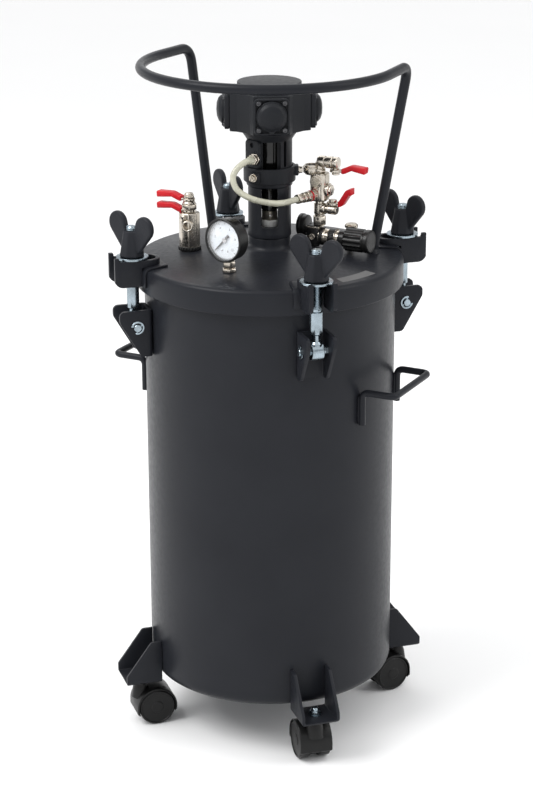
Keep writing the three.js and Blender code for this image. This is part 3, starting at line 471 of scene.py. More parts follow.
# Looks: the slot that a finish usually fills, and the finish.
black_paint = "black_paint", powder_coat(
    "black_powder_coat", (0.0125, 0.0135, 0.0170, 1), (0.0150, 0.0162, 0.0200, 1), 0.34)
cast_paint = "motor_black", powder_coat(
    "cast_black_paint", (0.0115, 0.0125, 0.0150, 1), (0.0160, 0.0172, 0.0200, 1), 0.4, 420.0)
rough_cast = "black_paint", powder_coat(
    "rough_cast_paint", (0.0120, 0.0128, 0.0160, 1), (0.0200, 0.0215, 0.0260, 1), 0.42, 330.0, 0.0005)
gloss_black = "black_plastic", moulded("gloss_black", grey(0.006), 0.16, 300.0, 0.00001)
nickel = "nickel", plated("nickel_plate", (0.64, 0.59, 0.52, 1), (0.50, 0.45, 0.38, 1), 0.22)
satin_nickel = "nickel", plated("satin_nickel", (0.62, 0.57, 0.49, 1), (0.50, 0.45, 0.38, 1), 0.4)
zinc = "zinc", plated("bright_zinc", (0.36, 0.43, 0.48, 1), (0.26, 0.31, 0.34, 1), 0.25, (1, 1, 0.25))
steel = "steel", plated("ground_steel", (0.52, 0.52, 0.53, 1), (0.45, 0.45, 0.46, 1), 0.26, (0.2, 0.2, 3))
screw_black = "steel", plated("blackened_screw", (0.10, 0.10, 0.105, 1), (0.07, 0.07, 0.075, 1), 0.3)
rubber = "gasket_rubber", moulded("gasket_rubber", grey(0.012), 0.7, 900.0)
caster_nylon = "caster_plastic", moulded("caster_nylon", grey(0.005), 0.36, Specular_IOR_Level=0.25)
black_plastic = "black_plastic", moulded("black_plastic", grey(0.007), 0.3, Specular_IOR_Level=0.35)
packing_white = "white_packing", moulded("packing_white", grey(0.78, 0.98), 0.45, 600.0)
red_vinyl = "red_grip", moulded(
    "red_vinyl", (0.46, 0.003, 0.009, 1), 0.4, 500.0, 0.00005, Specular_IOR_Level=0.3)
plate_grey = "steel", moulded("blank_plate", grey(0.085), 0.5, 500.0)
clear_hose = "clear_hose", moulded(
    "clear_hose", (0.56, 0.55, 0.44, 1), 0.28, 300.0, 0.00003, Transmission_Weight=0.25, Coat_Weight=0.3)
dial_white = "white_packing", moulded("dial_white", (0.74, 0.79, 0.84, 1), 0.45, 300.0)
dial_ink = "black_plastic", moulded("dial_ink", grey(0.015), 0.5, 300.0)
gauge_glass = "black_plastic", moulded("gauge_glass", grey(0.9), 0.08, 80.0, 0.00001, Alpha=0.1)


# ---------- camera, floor and light ----------
camera_data = bpy.data.cameras.new("camera")
camera_data.lens = 98.998
camera_data.sensor_width = 36
camera_data.clip_end = 60
camera = bpy.data.objects.new("camera", camera_data)
scene.collection.objects.link(camera)
scene.camera = camera
scene.view_settings.view_transform = "Standard"
camera.matrix_world = (
    Matrix.Translation((1.26643, -2.48554, 1.39604))
    @ Matrix.Rotation(math.radians(view_azimuth) + 0.0017348, 4, "Z")
    @ Matrix.Rotation(math.pi / 2 - 0.328241, 4, "X")
    @ Matrix.Rotation(-0.0030726, 4, "Z")
)

floor_finish = Finish("pale_floor", Roughness=0.75)
floor_finish.drive(Base_Color=floor_finish.blend(floor_finish.noise(1.5), grey(0.90), grey(0.92)))
floor_shape = bmesh.new()
bmesh.ops.create_grid(floor_shape, x_segments=8, y_segments=8, size=40)
floor_mesh = bpy.data.meshes.new("floor")
floor_shape.to_mesh(floor_mesh)
floor_shape.free()
floor_mesh.materials.append(floor_finish.material)
floor = bpy.data.objects.new("floor", floor_mesh)
scene.collection.objects.link(floor)
floor.location.z = -0.0002


def softbox(name, azimuth, elevation, distance, size, power):
    """A square light that faces the object."""
    data = bpy.data.lights.new(name, "AREA")
    data.shape, data.size, data.size_y, data.energy = "RECTANGLE", size[0], size[1], power
    light = bpy.data.objects.new(name, data)
    scene.collection.objects.link(light)
    aim = Vector((0, 0, 0.45))
    lift = math.radians(elevation)
    light.location = aim + (heading(azimuth) * math.cos(lift) + Vector((0, 0, math.sin(lift)))) * distance
    light.rotation_mode = "QUATERNION"
    light.rotation_quaternion = (light.location - aim).to_track_quat("Z", "Y")


softbox("key", -35, 48, 3.0, (1.6, 1.6), 60)
softbox("fill", 100, 30, 3.2, (0.9, 2.2), 22)
softbox("back", 215, 40, 3.0, (1.8, 1.2), 8)
world = bpy.data.worlds.new("studio")
scene.world = world
world.use_nodes = True
world_tree = world.node_tree
way = world_tree.nodes.new("ShaderNodeTexCoord")
height_of = world_tree.nodes.new("ShaderNodeSeparateXYZ")
shade = world_tree.nodes.new("ShaderNodeValToRGB")
world_tree.links.new(way.outputs["Generated"], height_of.inputs[0])
world_tree.links.new(height_of.outputs["Z"], shade.inputs[0])
world_tree.links.new(shade.outputs[0], world_tree.nodes["Background"].inputs["Color"])
sky = shade.color_ramp.elements
sky[0].color = sky[1].color = (1, 1, 1, 1)
sky[1].position = 0.7
sky.new(0.19).color = (0.92, 0.92, 0.92, 1)
sky.new(0.27).color = (0.18, 0.19, 0.21, 1)
world_tree.nodes["Background"].inputs["Strength"].default_value = 1.25


# ---------- bars, hoses and their places ----------
def bend(before, corner, after, reach, steps=8):
    """Points that round a corner of a bent bar."""
    start = corner + (before - corner).normalized() * reach
    end = corner + (after - corner).normalized() * reach
    shares = [k / steps for k in range(steps + 1)]
    return [start.lerp(corner, t).lerp(corner.lerp(end, t), t) for t in shares]


def smooth_path(points, steps=6):
    """A smooth curve through points."""
    before, after = 2 * points[0] - points[1], 2 * points[-1] - points[-2]
    known = [before, *points, after]
    found = []
    for a, b, c, d in zip(known, known[1:], known[2:], known[3:]):
        for t in (k / steps for k in range(steps)):
            bent = 2 * b + (c - a) * t
            bent += (2 * a - 5 * b + 4 * c - d) * t ** 2 + (3 * b - a - 3 * c + d) * t ** 3
            found.append(bent / 2)
    return [*found, points[-1]]


hose_radius = 4
hose_azimuth = -6
hose_height = rim_top + 135
hose_bends = [(-9, -51, 133.5), (-16, -60, 126), (-19, -65.5, 114.5), (-12, -67, 100.5), (5, -62, 90),
              (23, -47, 83), (34, -28, 80)]
hose_far_end = Vector((41, -3, 80 + rim_top))
hose_start = heading(hose_azimuth) * 42.3 + Vector((0, 0, hose_height))
hose_points = [hose_start, hose_start + heading(hose_azimuth) * 6]
hose_points += [Vector((x, y, z + rim_top)) for x, y, z in hose_bends]
hose_points.append(hose_far_end - (hose_far_end - hose_points[-1]).normalized() * 0.6)
hose_path = smooth_path(hose_points)
hose = piece("hose", sweep(hose_path, hose_radius, 20), "lid", clear_hose, ["air_hose"])
hose_length = sum((b - a).length for a, b in zip(hose_path, hose_path[1:]))
hose_path[0] * MM
[list(p * MM) for p in hose_path]

# ---------- tank ----------
ring_bottom = mouth_top - mouth_ring_height
inner = tank_radius - wall
piece("tank_body", rod([
    (tank_radius, tank_bottom, 16), (tank_radius, ring_bottom, 1.5),
    (mouth_radius, ring_bottom, 1.5), (mouth_radius, mouth_top, 2), (inner, mouth_top, 1),
    (inner, tank_bottom + wall, 13),
], 144), "tank", black_paint, ["tank_shell"])

handle_half, handle_height, handle_bar = 55, 497, 4.5
for side, name in ((-1, "left"), (1, "right")):
    leg_x = math.sqrt((tank_radius + gap + handle_bar) ** 2 - handle_half ** 2)
    bar_x = tank_radius + 41

    def half(sign):
        foot = Vector((side * leg_x, sign * handle_half, handle_height - 44))
        elbow = Vector((side * leg_x, sign * handle_half, handle_height))
        corner = Vector((side * bar_x, sign * handle_half, handle_height))
        middle = Vector((side * bar_x, 0, handle_height))
        return [foot, *bend(foot, elbow, corner, 10), *bend(elbow, corner, middle, 10)]

    near = half(-1)
    shape = sweep([*near, *reversed(half(1))], handle_bar, 20)
    for sign in (-1, 1):
        foot = Vector((side * leg_x, sign * handle_half, 0))
        bead = block((3.5, 9, 36), (0, 0, handle_height - 42), 1.6, 3)
        at = place(*(foot - foot.normalized() * 3.4)) @ facing(math.degrees(math.atan2(foot.x, -foot.y)))
        shape = together(shape, placed(bead, at))
    piece(f"carrying_handle_{name}", shape, "tank", black_paint, [f"side_handle_{name}"])


def around(name, shape, body, look, node=None, azimuths=clamp_azimuths, turned_by=None, crease=35):
    """Four copies of a shape whose +X looks outwards."""
    for number, azimuth in enumerate(azimuths, 1):
        copy = placed(shape.copy(), turned_by[number - 1] if turned_by else facing(azimuth))
        stands_for = [f"{node}_{number}"] if node else []
        piece(f"{name}_{number}", copy, body.format(number), look, stands_for, crease)
    shape.free()


# ---------- clamps ----------
ear_top = skirt_bottom - 22
pin_height = ear_top - 22
ear_half, ear_plate = 19.5, 4.5
back = tank_radius + gap
outer = tank_radius + 44
channel = prism([
    (back, -ear_half, 5), (outer, -ear_half), (outer, -ear_half + ear_plate),
    (back + ear_plate, -ear_half + ear_plate, 1.5), (back + ear_plate, ear_half - ear_plate, 1.5),
    (outer, ear_half - ear_plate), (outer, ear_half), (back, ear_half, 5),
], 62)
side_view = upright([
    (back - 1, ear_top - 62), (tank_radius + 16, ear_top - 62, 7), (outer, ear_top - 14, 8),
    (outer, ear_top, 7), (back - 1, ear_top),
], 50)
ears = combined(placed(channel, place(z=ear_top - 62)), side_view, "INTERSECT")
around("clamp_ears", soften(ears, 0.7, 2, 50), "tank", black_paint, "clamp_bracket")

eye = rod([(11, -8, 1), (11, 8, 1)], 40, turn(90, "X"))
shank = lathe([
    (0, 0), (9.5, 4, 2), (8.4, 10, 1), (5.4, 13, 2), (5.4, 21, 1), (8, 23, 1), (8, 51, 0.8), (6.2, 52),
    (6.2, 129.5, 1), (5, 131), (0, 131),
], 32)
thread = placed(screw_thread(7, 0.95, 2, 38), place(z=53))
pin = rod([(4.4, -23.3), (5, -22.5), (5, 22.5), (4.4, 23.3)], 28, turn(90, "X"))
bolt = placed(together(eye, shank, thread, pin), place(bolt_axis, 0, pin_height))
around("swing_bolt_body", bolt, "tank", zinc, "swing_bolt")

clip_turn = range(-140, 141, 10)
clip = prism(arc(8.8, clip_turn) + arc(6.3, reversed(clip_turn)), 1.3, 0.3, 1)
for angle in (-125, 0, 125):
    clip = together(clip, placed(block((2.6, 2.2, 1), (5.9, 0, 0), 0.2), turn(angle, "Z")))
clip = placed(clip, turn(-150, "Z"))
clips = together(placed(clip.copy(), turn(-90, "X") @ place(z=ear_half + 0.6)),
                 placed(clip, turn(90, "X") @ place(z=ear_half + 0.6)))
around("pin_clip", placed(clips, place(bolt_axis, 0, pin_height)), "tank", zinc)

seat_top = rim_top + 12
over_lid = rim_top + 3.3
arm_inner, arm_outer = 13, 18
turn_centre = 150 + arm_outer
tip_inner = bolt_axis + 21.3
arm_end = tip_inner + 6
half_turn = range(90, 271, 9)
outer_bend = arc(arm_outer, half_turn, (turn_centre, 0))
inner_bend = arc(arm_inner, reversed(half_turn), (turn_centre, 0))
loop = prism([(arm_end, arm_outer), *outer_bend, (arm_end, -arm_outer), (arm_end, -arm_inner), *inner_bend,
              (arm_end, arm_inner)], 39)
lug_side = upright([
    (140, over_lid - 1), (skirt_radius + 2.3, over_lid - 1), (skirt_radius + 2.3, seat_top - 34),
    (arm_end + 1, seat_top - 34, 12), (arm_end + 1, seat_top + 5), (tip_inner, seat_top + 5, 1.5),
    (tip_inner, seat_top, 2.5), (140, seat_top),
], 60)
lug = soften(combined(placed(loop, place(z=seat_top - 34)), lug_side, "INTERSECT"), 0.8, 2, 50)
edge_turn = range(0, 91, 15)
lid_corner = skirt_radius - rim_corner, rim_top - rim_corner
saddle_line = [(skirt_radius + 3.3, rim_top - 22)]
saddle_line += arc(rim_corner + 3.3, edge_turn, lid_corner)
saddle_line += [(146, lid_surface(146) + 3.3), (146, lid_surface(146) + 0.3)]
saddle_line += arc(rim_corner + gap, reversed(edge_turn), lid_corner)
saddle_line += [(skirt_radius + gap, rim_top - 22)]
saddle_angle = 2 * math.asin(26 / skirt_radius)
saddle = bmesh.new()
first = saddle.faces.new([saddle.verts.new((r, 0, z)) for r, z in saddle_line])
bmesh.ops.rotate(saddle, verts=saddle.verts, matrix=Matrix.Rotation(-saddle_angle / 2, 3, "Z"))
bmesh.ops.spin(saddle, geom=[first], cent=(0, 0, 0), axis=(0, 0, 1), angle=saddle_angle, steps=10)
bmesh.ops.recalc_face_normals(saddle, faces=saddle.faces)
around("clamp_lug", together(lug, soften(saddle, 0.7, 2, 50)), "lid", black_paint, "lid_lug")

washer = lathe([(7.5, 0), (21, 0, 0.6), (21, 3, 0.6), (7.5, 3)], 56)
around("washer", placed(washer, place(bolt_axis, 0, seat_top + 0.3)), "lid", zinc)

nut_bottom = seat_top + 3.6
lobe = arc(15.5, range(-35, 171, 12), (25, 39.5))
wing = upright([(4, 3), (15.5, 6, 5), *lobe, (4, 17)], 8, 2.8, 3)
tapered = bmesh.new()
bmesh.ops.create_cone(tapered, cap_ends=True, segments=8, radius1=17, radius2=11.2, depth=33.6,
                      matrix=place(z=16.8) @ turn(22.5, "Z"))
nut_shape = together(soften(tapered, 1.4, 2), wing.copy(), placed(wing, turn(180, "Z")))
around("wing_nut_casting", cast(nut_shape, 0.9, 2), "wing_nut_{}", rough_cast, "wing_nut",
       turned_by=[place(*(heading(a) * bolt_axis)) @ place(z=nut_bottom) @ facing(w)
                  for a, w in zip(clamp_azimuths, wing_azimuths)], crease=60)

# ---------- casters ----------
bracket_bottom = tank_bottom - 6
bracket_top = bracket_bottom + 61
sheet = 4
half_width = 26
bracket_back = tank_radius - 1.1
nose = tank_radius + 48
within = half_width - sheet
tray = prism([
    (-half_width, 0, 6), (half_width, 0, 6), (half_width, 61), (within, 61), (within, sheet, 2),
    (-within, sheet, 2), (-within, 61), (-half_width, 61),
], 60)
tray = placed(tray, place(bracket_back - 5, 0, bracket_bottom) @ turn(90, "Z") @ turn(90, "X"))
gusset = upright([
    (bracket_back, bracket_bottom), (nose, bracket_bottom, 4), (nose, bracket_bottom + 14, 4),
    (bracket_back + 14, bracket_top, 5), (bracket_back, bracket_top),
], 70)
bracket = soften(combined(tray, gusset, "INTERSECT"), 0.7, 2, 50)
around("caster_plate", bracket, "tank", black_paint, "caster_bracket")
stem_nut = together(
    placed(hexagon(13, 7), place(z=bracket_bottom + sheet)),
    lathe([(0, bracket_bottom + 4), (8.5, bracket_bottom + 4), (8.5, bracket_bottom + 5),
           (5.6, bracket_bottom + 5.2),
           (5.6, bracket_bottom + 11, 0.6), (4.6, bracket_bottom + 14.4, 3), (0, bracket_bottom + 15)], 32),
    rod([(4.8, bracket_bottom - 13.6, 0.6), (4.8, bracket_bottom + 5)], 24),
)
around("caster_nut", placed(stem_nut, place(caster_axis)), "tank", zinc)

wheel_radius, trail, hood_width = 25, 18, 44
hood_outer = wheel_radius + 3
swivels = [place(*(heading(azimuth) * caster_axis)) @ facing(trails)
           for azimuth, trails in zip(clamp_azimuths, trail_azimuths)]
hood_foot = 8 - wheel_radius
hood = upright([
    *arc(hood_outer, range(-12, 181, 8)), (-hood_outer, -8, 3), (-14, hood_foot, 3), (14, hood_foot, 3),
], hood_width, 1.4, 3)
hood = placed(hood, place(trail, 0, wheel_radius))
for side in (-1, 1):
    well = rod([(wheel_radius + 0.8, 0), (wheel_radius + 0.8, 40)], 72, turn(side * 90, "X"))
    hood = cut(hood, placed(well, place(trail, -side * 5, wheel_radius)))
neck = rod([(13, 37), (11, 50, 3), (9, 56, 2), (9, bracket_bottom - 0.8, 1)], 40)
around("caster_housing", join(hood, neck), "caster_{}", caster_nylon, "caster_hood",
       turned_by=swivels)
half_axle = [(0, 0), (3.8, 0), (3.8, 5.8), (23.6, 5.8, 1.2), (25, 7.6, 1.4), (25, 20.2, 1.6),
             (23.2, 21.6, 0.8),
             (22.2, 21.4, 0.4), (21.6, 20.4, 0.6), (8.6, 20.4, 1), (7.8, 21.2, 0.5), (0, 21.2)]
wheels = together(lathe(half_axle, 64, turn(90, "X")), lathe(half_axle, 64, turn(-90, "X")))
around("twin_wheels", placed(wheels, place(trail, 0, wheel_radius)), "wheels_{}", caster_nylon,
       "caster_wheels", turned_by=swivels)

# ---------- lid ----------
dome_top = rim_top + dome_rise
lid_under = rim_top - 5
relief_place = (87, 66)
relief_seat = lid_surface(math.hypot(*relief_place)) + 5
lid_shape = lathe([
    (mouth_radius + 1, skirt_bottom, 1), (skirt_radius, skirt_bottom, 1.2), (skirt_radius, rim_top, rim_corner),
    (dome_radius, dome_top, 18), (27, dome_top + 1.5, 13), (27, neck_top, 1.6), (13, neck_top, 0.8),
    (13, neck_top + 12, 1), (7.4, neck_top + 12), (7.4, lid_under), (18, lid_under, 1), (40, dome_top - 5, 4),
    (mouth_radius + 1, lid_under),
], 160)
seat = rod([(6.4, -6), (5.5, -2, 2), (5.5, 0, 0.5)], 24, place(*relief_place, relief_seat))
piece("lid_dome", together(lid_shape, seat), "lid", black_paint, ["lid"])
seal_low, seal_high = mouth_top + gap, mouth_top + 6 - gap
piece("lid_seal", lathe([
    (160, seal_low, 1.2), (169, seal_low, 1.2), (169, seal_high, 1.2), (160, seal_high, 1.2),
], 128), "lid", rubber, ["lid_gasket"])

hoop_bar, hoop_radius, hoop_height = 6.5, 164.3, rim_top + 250
corner_x, corner_y, foot_x, foot_y = 159, 78, 119, 64
corner_azimuth = 180 - math.degrees(math.atan2(corner_x, corner_y))
ring_end = corner_azimuth - math.degrees(math.acos(hoop_radius / math.hypot(corner_x, corner_y)))
foot_height = lid_surface(math.hypot(foot_x, foot_y)) + hoop_bar * 0.25


def on_ring(azimuth):
    return heading(azimuth) * hoop_radius + Vector((0, 0, hoop_height))


def hoop_leg(side):
    foot = Vector((side * foot_x, foot_y, foot_height))
    corner = Vector((side * corner_x, corner_y, hoop_height))
    return [foot, *bend(foot, corner, on_ring(side * ring_end), 22, 12)]


ring = [on_ring(-ring_end + 2 * ring_end * k / 72) for k in range(1, 72)]
hoop_shape = sweep([*hoop_leg(-1), *ring, *reversed(hoop_leg(1))], hoop_bar, 28)
for side in (-1, 1):
    weld = rod([(10, -2), (7.4, 3.4, 2.5), (6, 5)], 32)
    weld = placed(weld, place(side * foot_x, foot_y, foot_height - 0.4))
    hoop_shape = together(hoop_shape, weld)
piece("hoop", hoop_shape, "lid", black_paint, ["lift_hoop"])

# ---------- agitator ----------
shaft_low, shaft_high = span("agitator_shaft")
piece("mixing_shaft", rod([(6.9, shaft_low.z, 1), (6.9, shaft_high.z, 1)], 40),
      "agitator", steel, ["agitator_shaft"])
sleeve_low = neck_top + 34
piece("shaft_sleeve", lathe([(7, sleeve_low, 0.4), (10.4, sleeve_low, 1), (10.4, sleeve_low + 44, 1),
                             (7, sleeve_low + 44, 0.4)], 56), "agitator", gloss_black)
hub_low = shaft_low.z + 4
blade = prism([
    (9, -10, 3), (22, -13, 8), (46, -12, 10), (49.5, 0, 12), (46, 12, 10), (22, 13, 8), (9, 10, 3),
], 2.6, 0.8)
blade = placed(blade, place(z=-1.3))
blades = [placed(blade.copy(), turn(120 * k, "Z") @ turn(-35, "X")) for k in range(3)]
blade.free()
hub = lathe([(7.3, -12, 0.6), (12, -12, 1.2), (12, 12, 1.2), (7.3, 12, 0.6)], 40)
screw = rod([(2.6, 11), (2.6, 12.6, 0.3), (1.4, 12.6), (1.4, 12)], 16, turn(90, "Y"))
piece("mixing_propeller", placed(together(hub, screw, *blades), place(z=hub_low + 12)), "agitator", steel,
      ["propeller"])
packing_low = neck_top + 12.3
piece("gland_packing", lathe([(7.4, packing_low, 0.6), (11.5, packing_low, 1), (11.5, packing_low + 9, 1),
                              (7.4, packing_low + 9, 0.6)], 40), "lid", packing_white, ["packing_ring"])
gland_low = neck_top + 21.6
gland = cut(hexagon(20, 12, 0.9),
            rod([(7.4, -2), (7.4, 14)], 32),
            rod([(2.2, -20), (2.2, 20)], 24, place(z=6) @ turn(view_azimuth + 8, "Z") @ turn(90, "X")))
piece("gland_hex", placed(gland, place(z=gland_low)), "lid", satin_nickel, ["gland_nut"])

column_low = neck_top + gap
column_top = column_low + 80
column = lathe([
    (15, column_low), (28.2, column_low, 1.2), (28.2, column_low + 6, 1), (28, column_low + 7),
    (28, column_top - 13, 1), (30, column_top - 12, 1), (30, column_top, 1.2), (21, column_top, 1),
    (21, column_low + 11), (15, column_low + 11),
], 96)
window = prism([(-10.5, 0, 3), (10.5, 0, 3), (10.5, 52, 3), (-10.5, 52, 3)], 90)
window = placed(window, turn(view_azimuth, "Z") @ place(y=45, z=column_low + 15) @ turn(90, "X"))
piece("column_body", cut(column, window), "lid", black_paint, ["bearing_column"])
collar_low = column_top - 7
collar = lathe([(30.3, 0, 0.6), (33.8, 0, 1.2), (33.8, 20, 1.2), (30.3, 20, 0.6)], 96)
lugs, bolts = [], []
for azimuth, height in ((-6, 9.5), (118, 13)):
    lugs.append(placed(block((7, 15, 13), (34, 0, height - 6.5), 1.5), facing(azimuth)))
    screw = together(placed(hexagon(8, 4, 0.5), place(z=1)), rod([(5.4, 0), (5.4, 1.2, 0.4)], 24))
    bolts.append(placed(screw, facing(azimuth) @ place(37.6, 0, height) @ turn(90, "Y")))
piece("collar_ring", placed(together(collar, *lugs), place(z=collar_low)), "lid", cast_paint,
      ["column_collar"])
piece("collar_bolts", placed(together(*bolts), place(z=collar_low)), "lid", nickel)

# ---------- air motor ----------
FACING = Matrix(((0, 0, 1, 0), (1, 0, 0, 0), (0, 1, 0, 0), (0, 0, 0, 1)))   # X, Y, Z become Y, Z, X


def outward(azimuth, reach, height, centre=(0, 0)):
    """A frame whose Z looks outwards along an azimuth and whose Y is up."""
    return place(*centre, height) @ facing(azimuth) @ place(reach) @ FACING


def slab(width, height, corner, thickness, edge=0.8):
    """A plate with rounded corners, centred on Z."""
    x, y = width / 2, height / 2
    return prism([(-x, -y, corner), (x, -y, corner), (x, y, corner), (-x, y, corner)], thickness, edge)


motor_low = column_top + gap
body_low = motor_low + 61.5
throat = rod([
    (22, body_low - 15), (22, motor_low, 0.6), (30, motor_low, 1.2), (30, motor_low + 5, 0.5),
    (29.4, motor_low + 6, 0.5), (29.4, body_low - 14, 5), (39, body_low), (39, body_low + 1),
], 96)
inner_low, inner_high = motor_low + 2, body_low - 15.2
inner_tube = lathe([(7.6, inner_low), (14, inner_low, 1), (14, inner_high, 1), (7.6, inner_high)], 64)
piece("motor_inner_tube", inner_tube, "lid", gloss_black)
slots = [placed(slab(width, height, 2.4, 14, 0), outward(azimuth, 20, motor_low + middle))
         for azimuth, width, height, middle in ((29, 27, 45, 25), (70, 4.4, 34, 31), (125, 9, 32, 28),
                                                (205, 27, 38, 27), (290, 9, 32, 28))]
hole = rod([(3.4, 0), (3.4, 12)], 28, outward(-18, 26, hose_height + 16.5))
throat = cut(throat, together(*slots))
pad = cut(placed(slab(25, 36, 5, 6, 1.5), outward(-18, 26, hose_height + 5)), hole)
flange = rod([(8.6, 0), (8.6, 3.2, 1), (7, 3.2, 0.6), (7, 2.2)], 40,
                outward(hose_azimuth, 31, hose_height))
piece("motor_throat", together(throat, pad, flange), "lid", cast_paint, ["motor_housing"])

flat = 52
quarter = [Vector(p) for p in ((52, -23), (52, 23), (43, 27), (27, 43))]
outline = []
for k in range(4):
    for i, point in enumerate(quarter):
        outline.append((*(Matrix.Rotation(math.radians(90 * k), 2) @ point), 2.5 if i > 1 else 1.5))
crankcase = placed(prism(outline, 50, 2.4, 3), place(z=body_low))
shoulder = rod([(36, -4), (47, 0.5, 2)], 72)
crankcase = together(crankcase, placed(shoulder, place(z=body_low)))
piece("motor_crankcase", placed(crankcase, turn(motor_azimuth, "Z")), "lid", cast_paint)

cap_low = body_low + 50.3
cap = rod([
    (39, cap_low), (39, cap_low + 1.6, 0.3), (41.5, cap_low + 1.8, 0.5), (41.5, cap_low + 10.1, 1.2),
], 96)
piece("motor_top_cap", cap, "lid", cast_paint, ["motor_cap"])

cover = lathe([
    (0, 1), (20, 1), (19.6, 6.4, 1.4), (18.2, 6.8, 0.3), (18, 9.6, 1), (17.2, 10.4, 0.5), (14.5, 13, 1.5),
    (8.5, 15.2, 4), (0, 15.9, 8),
], 64)
bosses = [(x, y) for x in (-16.6, 16.6) for y in (-17.2, 17.2)]
head_plate = cut(slab(45, 46, 6, 6, 1), placed(slab(41, 42, 5, 6, 0.4), place(z=2.6)))
head = together(head_plate, cover,
                placed(prism([(-6, 0, 1), (6, 0, 1), (2.2, -7, 1.6), (-2.2, -7, 1.6)], 6, 1.2),
                       place(y=-15, z=3)),
                *[rod([(4.6, 0), (4.2, 5.6, 1)], 28, place(x, y)) for x, y in bosses])
screws = together(*[rod([(2.9, 5.4), (2.9, 7.8, 0.6), (1.6, 7.8, 0.2), (1.6, 6.4)], 24,
                           place(x, y)) for x, y in bosses])
head_height = body_low + 25
for number in range(1, 5):
    at = outward(motor_azimuth + 90 * (number - 1), flat + gap, head_height)
    piece(f"motor_head_{number}", placed(head.copy(), at), "lid", cast_paint,
          [f"cylinder_head_{number}"])
    piece(f"head_screws_{number}", placed(screws.copy(), at), "lid", screw_black)
head.free()
screws.free()

port = together(
    placed(hexagon(13.6, 4, 0.6), place(z=32.6)),
    placed(hexagon(12.6, 3.6, 0.6), place(z=37.8)),
    rod([(5, 32), (5, 41.6, 0.4), (4.4, 42.4), (3.4, 42.8, 0.3), (3.4, 47)], 36),
)
piece("motor_air_port", placed(port, outward(hose_azimuth, 0, hose_height)), "lid", nickel)
collar = lathe([(3.9, 42.6), (5.5, 42.6, 0.5), (5.3, 46), (4.05, 50), (3.9, 50)], 32)
piece("hose_end_sleeve", placed(collar, outward(hose_azimuth, 0, hose_height)), "lid", clear_hose)


# ---------- levers ----------
def ribbon(line, thickness, width, edge):
    """A strip of even thickness that follows a line in X and Z."""
    points = rounded(line, closed=False)
    above, below = [], []
    for i, point in enumerate(points):
        ahead = (points[min(i + 1, len(points) - 1)] - points[max(i - 1, 0)]).normalized()
        across = Vector((-ahead.y, ahead.x)) * thickness / 2
        above.append(tuple(point + across))
        below.append(tuple(point - across))
    return upright([*above, *reversed(below)], width, edge, 3)


def lever(name, body, node, matrix, reach, rise, droop=1.5):
    """A steel strip with a hub and a dipped red grip."""
    flat_end, slope_end, middle = 12.5, 23.5, 1.5
    raised = rise - middle
    line = [(2, middle), (flat_end, middle, 5), (slope_end, raised, 6), (reach - 1, raised - droop)]
    strip_shape = ribbon(line, 2.4, 8.6, 0.4)
    hub_shape = lathe([(4.4, 0), (8, 0, 0.5), (8, 3, 0.5), (4.4, 3)], 40)
    piece(f"{name}_strip", placed(together(strip_shape, hub_shape), matrix), body, nickel)
    grip_line = [(9.6, middle + 0.6), (flat_end, middle + 0.6, 5), line[2], (reach - 0.2, raised - droop)]
    grip = ribbon(grip_line, 7, 11, 2.4)
    for vert in grip.verts:
        share = max(0, (vert.co.x - slope_end) / (reach - slope_end))
        vert.co.y *= 1 + 0.2 * share
        vert.co.z += 0.22 * share * (vert.co.z - rise + middle + droop * share)
    piece(f"{name}_grip", placed(grip, matrix), body, red_vinyl, [node])


# ---------- fluid outlet ----------
outlet_place = (-97, -41)
base = span("fluid_outlet_block")[0].z
pillar_flats = 26
octagon = arc(pillar_flats / 2 / math.cos(math.pi / 8), [45 * k + 22.5 for k in range(8)])
pillar = prism(octagon, 49.8, 1.2, 3)
mouth = rod([
    (7, 0), (7, 13.6, 0.4), (7.5, 14.4, 0.6), (7.5, 20, 1.2), (4.9, 20, 0.8), (4.7, 2),
], 48, outward(20, 0, 35))
vent = lathe([(0, 0), (4, 0), (4, 14, 0.3), (3.4, 14.3), (3.4, 15), (4, 15.3, 0.3), (4, 16.6, 0.3),
                     (3.4, 16.9), (3.4, 17.5), (0, 18.2)], 28, outward(-8, 0, 44))
waist = rod([(4, 49), (4, 72)], 28)
top_hex = together(placed(hexagon(19, 7, 1), place(z=54)),
                   rod([(8.4, 60, 1), (8.6, 63, 0.6), (7, 65, 0.6)], 40))
dome_nut = together(placed(hexagon(13, 3.4, 0.5), place(z=69)),
                    lathe([(0, 72), (6, 72), (5.6, 75.6, 2.8), (0, 76.4)], 32))
outlet = together(pillar, mouth, vent, waist, top_hex, dome_nut)
piece("outlet_pillar", placed(outlet, place(*outlet_place, base)), "lid", nickel, ["fluid_outlet_block"])
teeth = [point for k in range(48) for point in arc(14.6 + 0.7 * (k % 2), [7.5 * k])]
foot_ring = placed(prism(teeth, 5.4, 0.3, 1), place(*outlet_place, base - 0.2))
piece("outlet_foot_ring", foot_ring, "lid", black_plastic)
for name, height in (("lower", base + 50.5), ("upper", base + 65.5)):
    lever(f"fluid_{name}_lever", f"outlet_lever_{name}", f"outlet_lever_{name}",
          place(*outlet_place, height) @ turn(180, "Z"), 46, 8)
tube_low, tube_high = span("pickup_tube")
piece("suction_tube", lathe([
    (6, tube_low.z, 0.4), (8, tube_low.z, 0.6), (8, tube_high.z, 0.4), (6, tube_high.z, 0.4)], 40,
    place(*outlet_place)), "lid", steel, ["pickup_tube"])


# ---------- air side ----------
def knurled(radius, height, teeth_count, depth=0.5, edge=0.5):
    """A bar with fine ribs round it."""
    step = 180 / teeth_count
    outline = [point for k in range(teeth_count * 2) for point in arc(radius - depth * (k % 2), [step * k])]
    return prism(outline, height, edge, 1)


